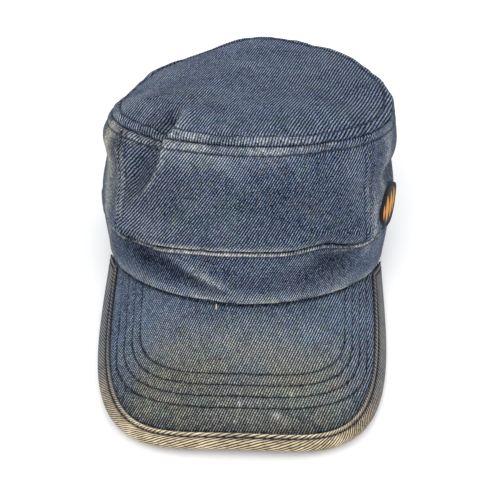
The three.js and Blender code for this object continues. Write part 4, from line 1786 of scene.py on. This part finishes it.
@dataclass
class Peak:
    """The stiff peak: denim above and below its board, sewn through in four rows."""

    crown: CrownShape
    material: bpy.types.Material
    nose: float
    columns: int = 330
    rows: int = 118
    row_count: int = 4
    row_half_width: float = 59.7
    row_step: float = 4.4
    row_tip: float = -136.9
    row_tip_step: float = -6.3
    row_bend_y: float = -96.0
    row_bend_step: float = -2.7
    row_square: float = 2.85
    row_splay: float = 0.04
    row_bend_points: int = 161
    row_side_points: int = 90
    sink: float = 0.5
    between_rows: float = 0.18
    row_shade: float = 1.1
    thread_above: float = 0.05
    # The peak's y where its rows turn dark, where its stain starts and ends, and where its tip darkens.
    rows_darken: tuple[float, float] = (84.0, 118.0)
    stain: tuple[float, float] = (90.0, 148.0)
    stain_sides: tuple[float, float] = (44.0, 80.0)
    tip_shade: tuple[float, float] = (146.0, 172.0)
    # Each tone: (x, y), turn, half length, half width, mark, amount.
    tones: tuple[Tone, ...] = (
        Tone((0, -118), 0, 60, 15.0, Mark.FADE, 0.36),
        Tone((-66, -148), 60, 20, 10.0, Mark.SHADE, 0.34),
        Tone((68, -146), -60, 20, 9.0, Mark.SHADE, 0.28),
        Tone((21, -160), -30, 4, 1.6, Mark.WEAR, 0.9),
        Tone((28, -147.6), 80, 1.8, 0.8, Mark.WEAR, 1.0),
        Tone((0, -154.5), 85, 2.0, 0.8, Mark.WEAR, 1.0),
        Tone((-2, -163.6), 60, 1.6, 0.8, Mark.WEAR, 1.0),
    )

    def row_size(self, number: int) -> tuple[float, float, float]:
        """A row's half width, and where along the peak its sides end and its front lies."""
        return (
            self.row_half_width + self.row_step * number,
            self.row_bend_y + self.row_bend_step * number,
            self.row_tip + self.row_tip_step * number,
        )

    def beside_row(self, number: int, x: np.ndarray, y: np.ndarray) -> np.ndarray:
        """How far each point lies outside one of the U-shaped rows.

        Args:
            number: The row, counted from the innermost.
            x: Places across the peak.
            y: Places along it.

        Returns:
            The distances, below 0 inside the row.
        """
        half, bend_y, tip = self.row_size(number)
        power = self.row_square
        side = half + self.row_splay * np.maximum(y - bend_y, 0.0)
        across = np.maximum(np.abs(x), 1e-3) / side
        ahead = np.maximum(bend_y - y, 1e-3) / (bend_y - tip)
        size = (across**power + ahead**power) ** (1.0 / power)
        slope = np.hypot(across ** (power - 1.0) / side, ahead ** (power - 1.0) / (bend_y - tip))
        return (size - 1.0) / (slope * size ** (1.0 - power))

    def row_path(self, number: int) -> tuple[np.ndarray, np.ndarray]:
        """The line of a row of stitches, from the rim round the front and back to the rim.

        Args:
            number: The row, counted from the innermost.

        Returns:
            Its x and its y.
        """
        half, bend_y, tip = self.row_size(number)
        turn = np.linspace(-np.pi / 2.0, np.pi / 2.0, self.row_bend_points)
        x = half * signed_power(np.sin(turn), 2.0 / self.row_square)
        y = bend_y + (tip - bend_y) * np.abs(np.cos(turn)) ** (2.0 / self.row_square)
        back = np.linspace(bend_y + 90.0, bend_y + 0.5, self.row_side_points)
        rim = self.crown.rim
        side = half + self.row_splay * (back - bend_y)
        ahead = (back - rim.middle_y) / (rim.front_y - rim.middle_y)
        clear = np.hypot(side / rim.half_width, ahead) > 1.01
        side, back = side[clear], back[clear]
        return np.concatenate([-side, x, side[::-1]]), np.concatenate([back, y, back[::-1]])

    def build(self, stitches: Stitching) -> None:
        """Makes the peak and its rows of stitches, above and below.

        Args:
            stitches: The stitches that its rows are added to.
        """
        shape = self.crown.peak
        shares = np.linspace(0.0, 1.0, self.columns + 1)
        edge, out = shape.outline(shares)
        front = edge - out * self.nose
        seam = math.radians(shape.seam_angle) - 0.004
        turns = -seam + 2.0 * seam * shares
        rear = np.stack(self.crown.rim.plan(turns), axis=-1) - outward(turns)[:, :2] * shape.tuck
        part = np.linspace(0.0, 1.0, self.rows + 1)[:, None, None]
        plan = front + (rear - front) * part
        x, y = plan[..., 0], plan[..., 1]
        cloth = Cloth(shape.lifted(x, y, 0.0), PEAK_BOARD)
        cloth.weave = np.stack([shape.across(x, y), y * 1.02], axis=-1)
        cloth.inner = shape.lifted(x, y, -PEAK_BOARD)
        from_edge = np.linalg.norm(plan - front, axis=-1)
        from_rim = np.linalg.norm(plan - rear, axis=-1)
        quilt = np.zeros_like(x)
        for number in range(self.row_count):
            away = self.beside_row(number, x, y) + 0.4 * SPECKS.at(cloth.points)
            wave = 1.0 + 0.5 * PUCKERS.at(cloth.points)
            quilt -= self.sink * bell(away / 0.85) * wave
            quilt += self.between_rows * bell((away - 2.6) / 1.9)
            drawn = self.row_shade * bell(away / 0.55)
            cloth.marks[Mark.SHADE] += drawn * (0.25 + 0.75 * ease(-y, *self.rows_darken))
        cloth.push += quilt + 0.14 * PUCKERS.at(cloth.points) * ease(-y, 110.0, 160.0)
        cloth.inner -= cloth.normals * quilt[..., None]
        stain = ease(-y, *self.stain) * (1.0 - 0.85 * ease(np.abs(x), *self.stain_sides))
        cloth.marks[Mark.SOIL] += stain + 0.25 * BROAD.at(cloth.points) * (0.3 + stain)
        cloth.marks[Mark.SHADE] += 0.34 * ease(-y, *self.tip_shade)
        cloth.tone(x, y, self.tones)
        # Painted shade along the binding's inner edge, and a painted shadow under the band's rim.
        cloth.marks[Mark.SHADE] += 0.9 * bell((from_edge - 6.3) / 0.8) + 0.35 * bell((from_edge - 7.0) / 4.5)
        cloth.marks[Mark.SHADE] += 0.85 * bell((from_rim - 1.6) / 1.2) + 0.3 * bell(from_rim / 10.0)
        settle(cloth.build("peak_cloth", self.material), "peak_denim", "peak")
        for number in range(self.row_count):
            row_x, row_y = self.row_path(number)
            above = self.thread_above - self.sink
            stitches.add(shape.lifted(row_x, row_y, above))
            stitches.add(shape.lifted(row_x, row_y, -PEAK_BOARD - above))


@dataclass
class Binding:
    """The strip that wraps the peak's edge, with a stitched ridge along its inner edge."""

    crown: CrownShape
    material: bpy.types.Material
    nose: float
    columns: int = 560
    width: float = 8.5
    margin: float = 0.7
    ridge_at: float = 1.0
    groove_at: float = 2.7
    nose_points: int = 17
    inset_step: float = 0.05
    stained: tuple[float, float] = (108.0, 182.0)

    def room(self, places: np.ndarray, out: np.ndarray) -> np.ndarray:
        """How wide the strip can be before it meets the band.

        Args:
            places: The outline.
            out: Its outward direction.

        Returns:
            The width at each point of the outline.
        """
        rim = self.crown.rim
        insets = np.arange(0.0, self.width + self.margin + self.inset_step, self.inset_step)
        inside = places[None] - out[None] * insets[:, None, None]
        middle = np.array([0.0, rim.middle_y])
        size = np.array([rim.half_width, rim.front_y - rim.middle_y])
        in_band = np.linalg.norm((inside - middle) / size, axis=-1) < 1.0
        first = np.where(in_band.any(axis=0), in_band.argmax(axis=0), len(insets) - 1)
        return insets[first] - self.margin

    def profile(self, radius: float, places: np.ndarray, out: np.ndarray, widths: np.ndarray) -> np.ndarray:
        """The strip's points at one distance from the middle of the board.

        Args:
            radius: That distance.
            places: The outline.
            out: Its outward direction.
            widths: The strip's width at each point of the outline.

        Returns:
            A grid whose rows run from under the peak, round its nose and back above it.
        """
        shape = self.crown.peak
        flat = graded(self.width - self.nose, 0.45, 0.32, 4.2, 0.0)[:, None]
        inset = widths + (self.nose - widths) * flat

        def laid(amount: np.ndarray, side: float) -> np.ndarray:
            """The strip above or below the board, at an inset from the outline."""
            plan = places - out * amount[:, None]
            return shape.lifted(plan[:, 0], plan[:, 1], side * radius - PEAK_BOARD / 2.0)

        rows = [laid(amount, -1.0) for amount in inset[:-1]]
        plan = places - out * self.nose
        centre = shape.lifted(plan[:, 0], plan[:, 1], -PEAK_BOARD / 2.0)
        normal = shape.normal(plan[:, 0], plan[:, 1])
        level = np.concatenate([out, np.zeros((len(out), 1))], axis=-1)
        level = unit(level - normal * np.sum(level * normal, axis=-1, keepdims=True))
        for turn in np.linspace(-np.pi / 2.0, np.pi / 2.0, self.nose_points):
            rows.append(centre + radius * (normal * math.sin(turn) + level * math.cos(turn)))
        rows += [laid(amount, 1.0) for amount in inset[-2::-1]]
        return np.array(rows)

    @staticmethod
    def stretched(out: np.ndarray, steps: np.ndarray) -> np.ndarray:
        """The strip's length for its weave, longer at the corners, where its lines lie steeper.

        Args:
            out: The outward direction at each point of the outline.
            steps: The distances between those points.

        Returns:
            The length at each point, 0 at the middle.
        """
        slanting = np.abs(2.0 * out[:, 0] * out[:, 1])
        factor = 1.0 + 1.4 * slanting + 0.6 * np.abs(out[:, 0])
        far = np.concatenate([[0.0], np.cumsum(steps * 0.5 * (factor[1:] + factor[:-1]))])
        return far - far[-1] / 2.0

    def build(self, stitches: Stitching) -> None:
        """Makes the strip and its two rows of stitches.

        Args:
            stitches: The stitches that its rows are added to.
        """
        places, out = self.crown.peak.outline(np.linspace(0.0, 1.0, self.columns + 1))
        widths = self.room(places, out)
        outer = self.profile(self.nose, places, out, widths)
        cloth = Cloth(outer, BINDING_CLOTH)
        cloth.inner = self.profile(self.nose - BINDING_CLOTH, places, out, widths)
        room = ease(np.broadcast_to(widths, outer.shape[:2]), 2.0, 6.0)
        wave = PUCKERS.at(outer)
        for side in (Side.TOP, Side.BOTTOM):
            away = cloth.away(side)
            cloth.push += 0.75 * bell((away - self.ridge_at) / 0.85) * (1.0 + 0.35 * wave) * room
            cloth.push -= 0.55 * bell((away - self.groove_at) / 0.8) * room + 0.5 * bell(away / 0.35)
            cloth.push += 0.25 * bell((away - 5.0) / 1.6) * (1.0 + wave) * room
            cloth.marks[Mark.WEAR] += 0.8 * bell((away - self.ridge_at) / 0.8)
            # Painted shade in the stitched groove and along the strip's edge.
            cloth.marks[Mark.SHADE] += 0.85 * bell((away - self.groove_at) / 0.75) + 0.9 * bell(away / 0.4)
        soil = ease(-outer[..., 1], *self.stained) * (1.0 + 0.4 * BROAD.at(outer))
        cloth.marks[Mark.SOIL] += np.clip(soil + 0.15 * SOFT.at(outer), 0.0, 1.0)
        nose_row = outer.shape[0] // 2
        height = travelled(outer, 0)
        cloth.weave[..., 1] = height - height[nose_row]
        cloth.weave[..., 0] = self.stretched(out, np.linalg.norm(np.diff(places, axis=0), axis=-1))
        settle(cloth.build("peak_binding_cloth", self.material), "worn_binding", "peak_binding")
        for side in (Side.TOP, Side.BOTTOM):
            stitches.add(cloth.row_line(side, self.groove_at, 0.1)[6:-6])


@dataclass
class Patch:
    """The oval patch on the wearer's left, with a raised sewn border."""

    shape: CrownShape
    material: bpy.types.Material
    angle: float = 70.5
    level: float = 0.44
    half_width: float = 18.0
    half_height: float = 13.5
    border_share: float = 0.88
    border_height: float = 0.4
    columns: int = 144
    rings: int = 30
    border_rings: tuple[int, ...] = (1, 3)

    def build(self, stitches: Stitching) -> None:
        """Makes the patch and its border.

        Args:
            stitches: The stitches that its rows are added to.
        """
        middle = math.radians(self.angle)
        here = np.array(middle)
        height = self.shape.top_line(here)[2] - self.shape.rim_line(here)[2]
        turns = np.linspace(0.0, 2.0 * np.pi, self.columns + 1)
        turn, reach = np.meshgrid(turns, 1.0 - np.linspace(0.0, 1.0, self.rings + 1))
        across = self.half_width * reach * np.cos(turn)
        up = self.half_height * reach * np.sin(turn)
        angle = middle + across / self.shape.band_seam.half_width
        points = self.shape.wall(angle, self.level + up / height)[0] + outward(angle) * (GAP + PATCH_CLOTH)
        points[-1] = points[-1, 0]
        cloth = Cloth(points, PATCH_CLOTH, closes=True, ends_in_point=True)
        cloth.weave = np.stack([across, up], axis=-1)
        edge = ease(reach, self.border_share - 0.03, self.border_share + 0.02)
        rounded = np.sqrt(np.clip(1.0 - ((reach - 0.94) / 0.062) ** 2, 0.0, 1.0))
        cloth.push += self.border_height * edge * rounded
        cloth.marks[Mark.SHADE] += edge
        settle(cloth.build("side_patch_cloth", self.material), "patch", "side_patch")
        outer = cloth.outer() + cloth.normals * 0.05
        for ring in self.border_rings:
            stitches.add(outer[ring], closes=True)


@dataclass
class LooseEnd:
    """A pale loose thread that sticks out below the rim."""

    crown: CrownShape
    material: bpy.types.Material
    angle: float = -9.8
    length: float = 3.4
    radius: float = 0.3
    thickness: float = 0.2
    steps: int = 8

    def build(self) -> None:
        """Makes the thread as a bent tube."""
        angle = np.array(math.radians(self.angle))
        start = self.crown.rim_line(angle) + outward(angle) * 0.2
        along = np.linspace(0.0, 1.0, self.steps + 1)[:, None]
        side = np.array([1.0, 0.0, 0.0])
        line = start + along * self.length * (0.8 * outward(angle) - 0.45 * UP)
        line = line + 0.5 * UP * np.sin(along * np.pi) + 0.4 * along**2 * side
        turn = np.linspace(0.0, 2.0 * np.pi, self.steps + 1)
        over = unit(np.cross(side, line[-1] - line[0]))
        ring = side * np.cos(turn)[:, None] - over * np.sin(turn)[:, None]
        points = line[:, None, :] + ring[None] * self.radius
        cloth = Cloth(points, self.thickness, closes=True)
        settle(cloth.build("loose_thread", self.material), "worn_binding")


@dataclass(frozen=True)
class Lamp:
    """A soft square light that points at the cap: its place and size in metres, and its power."""

    name: str
    place: tuple[float, float, float]
    size: float
    power: float
    aim: tuple[float, float, float] = (0.0, 0.0, 0.04)

    def build(self) -> None:
        """Makes the light."""
        data = bpy.data.lights.new(self.name, "AREA")
        data.shape, data.size, data.energy = "SQUARE", self.size, self.power
        lamp = new_object(self.name, data)
        lamp.location = self.place
        lamp.rotation_euler = (Vector(self.aim) - Vector(self.place)).to_track_quat("-Z", "Y").to_euler()


@dataclass(frozen=True)
class Studio:
    """The camera at the photograph's angle, the pale floor and the soft lights."""

    azimuth: float = 1.0
    elevation: float = 44.0
    distance: float = 650.0
    roll: float = 0.8
    target: tuple[float, float, float] = (-1.0, -23.8, 40.25)
    focal_pixels: float = 1086.0
    picture_width: float = 490.0
    sensor: float = 36.0
    floor_radius: float = 3.0
    air: tuple[float, float, float, float] = (0.97, 0.985, 1.0, 1.0)
    air_strength: float = 0.8
    lamps: tuple[Lamp, ...] = (
        Lamp("key_light", (-0.7, -0.9, 1.5), 1.9, 19.5),
        Lamp("fill_light", (1.1, -0.6, 1.2), 1.2, 8.0),
        Lamp("back_light", (0.1, 1.3, 1.3), 1.2, 8.5),
    )

    def camera(self) -> None:
        """Makes the camera."""
        around, up, roll = (math.radians(turn) for turn in (self.azimuth, self.elevation, self.roll))
        level = math.cos(up)
        back = Vector((math.sin(around) * level, -math.cos(around) * level, math.sin(up)))
        right = Vector((math.cos(around), math.sin(around), 0.0))
        over = back.cross(right)
        x_axis = right * math.cos(roll) + over * math.sin(roll)
        y_axis = over * math.cos(roll) - right * math.sin(roll)
        data = bpy.data.cameras.new("camera")
        data.lens = self.focal_pixels / self.picture_width * self.sensor
        data.sensor_width = self.sensor
        data.clip_start, data.clip_end = 0.01, 50.0
        camera = new_object("camera", data)
        place = Vector(self.target) * MM + back * self.distance * MM
        turned = Matrix((x_axis, y_axis, back)).transposed().to_4x4()
        camera.matrix_world = Matrix.Translation(place) @ turned
        bpy.context.scene.camera = camera

    def build(self) -> None:
        """Makes the whole studio."""
        self.camera()
        bpy.ops.mesh.primitive_circle_add(vertices=64, radius=self.floor_radius, fill_type="NGON")
        floor = bpy.context.object
        floor.name = "floor"
        floor.data.materials.append(FloorPaint().make())
        for lamp in self.lamps:
            lamp.build()
        world = bpy.data.worlds.new("studio")
        bpy.context.scene.world = world
        world.use_nodes = True
        background = world.node_tree.nodes["Background"]
        background.inputs["Color"].default_value = self.air
        background.inputs["Strength"].default_value = self.air_strength
        bpy.context.scene.view_settings.view_transform = "Standard"


def main() -> None:
    """Builds the cap and the studio in order."""
    logging.basicConfig(level=logging.INFO, format="%(message)s")
    Studio().build()
    crown, crease, tree = CrownShape(), Crease(), StitchTree()
    nose = PEAK_BOARD / 2.0 + GAP + BINDING_CLOTH
    denim = Denim("crown_twill").make()
    top_twill = Twill(pitch=1.6, slant=76.0, wander=0.45, sharpness=4.4, dash=0.6)
    top_denim = Denim("top_twill", pale=(175, 195, 236), twill=top_twill, fade=0.375, mottle=0.7).make()
    peak_twill = Twill(pitch=1.35, slant=66.0, sharpness=3.6)
    peak_denim = Denim(
        "peak_twill", dark=(1, 16, 35), pale=(178, 200, 234), twill=peak_twill, fade=0.43
    ).make()
    navy = Thread("navy_thread", (66, 74, 98), (26, 30, 48)).make()
    dark = Thread("dark_thread", (34, 38, 52), (10, 11, 18)).make()
    cream = Thread("cream_thread", (226, 218, 188), (150, 142, 118)).make()
    black = Thread("black_thread", (40, 41, 44), (14, 14, 16)).make()
    sewing = {
        "crown": Stitching("crown_stitches", "crown_denim", navy, tree, seed=3),
        "band": Stitching("band_stitches", "crown_denim", navy, tree, 3.0, 2.6, 0.5, seed=4),
        "peak": Stitching("peak_stitches", "peak_denim", dark, tree, 2.9, 2.6, 0.6, seed=6),
        "binding": Stitching("binding_stitches", "worn_binding", dark, tree, 3.2, 2.7, 0.7, seed=7),
        "patch": Stitching("patch_border", "patch", black, tree, 0.9, 1.5, 0.5, seed=8),
    }
    Band(crown, denim).build(sewing["band"])
    Wall(crown, crease, denim).build(sewing["crown"])
    Top(crown, crease, top_denim).build(sewing["crown"])
    Peak(crown, peak_denim, nose).build(sewing["peak"])
    Binding(crown, BindingCloth().make(), nose).build(sewing["binding"])
    Patch(crown, PatchCloth().make()).build(sewing["patch"])
    LooseEnd(crown, cream).build()
    for rows in sewing.values():
        settle(rows.build(), rows.slot)


if __name__ == "__main__":
    main()
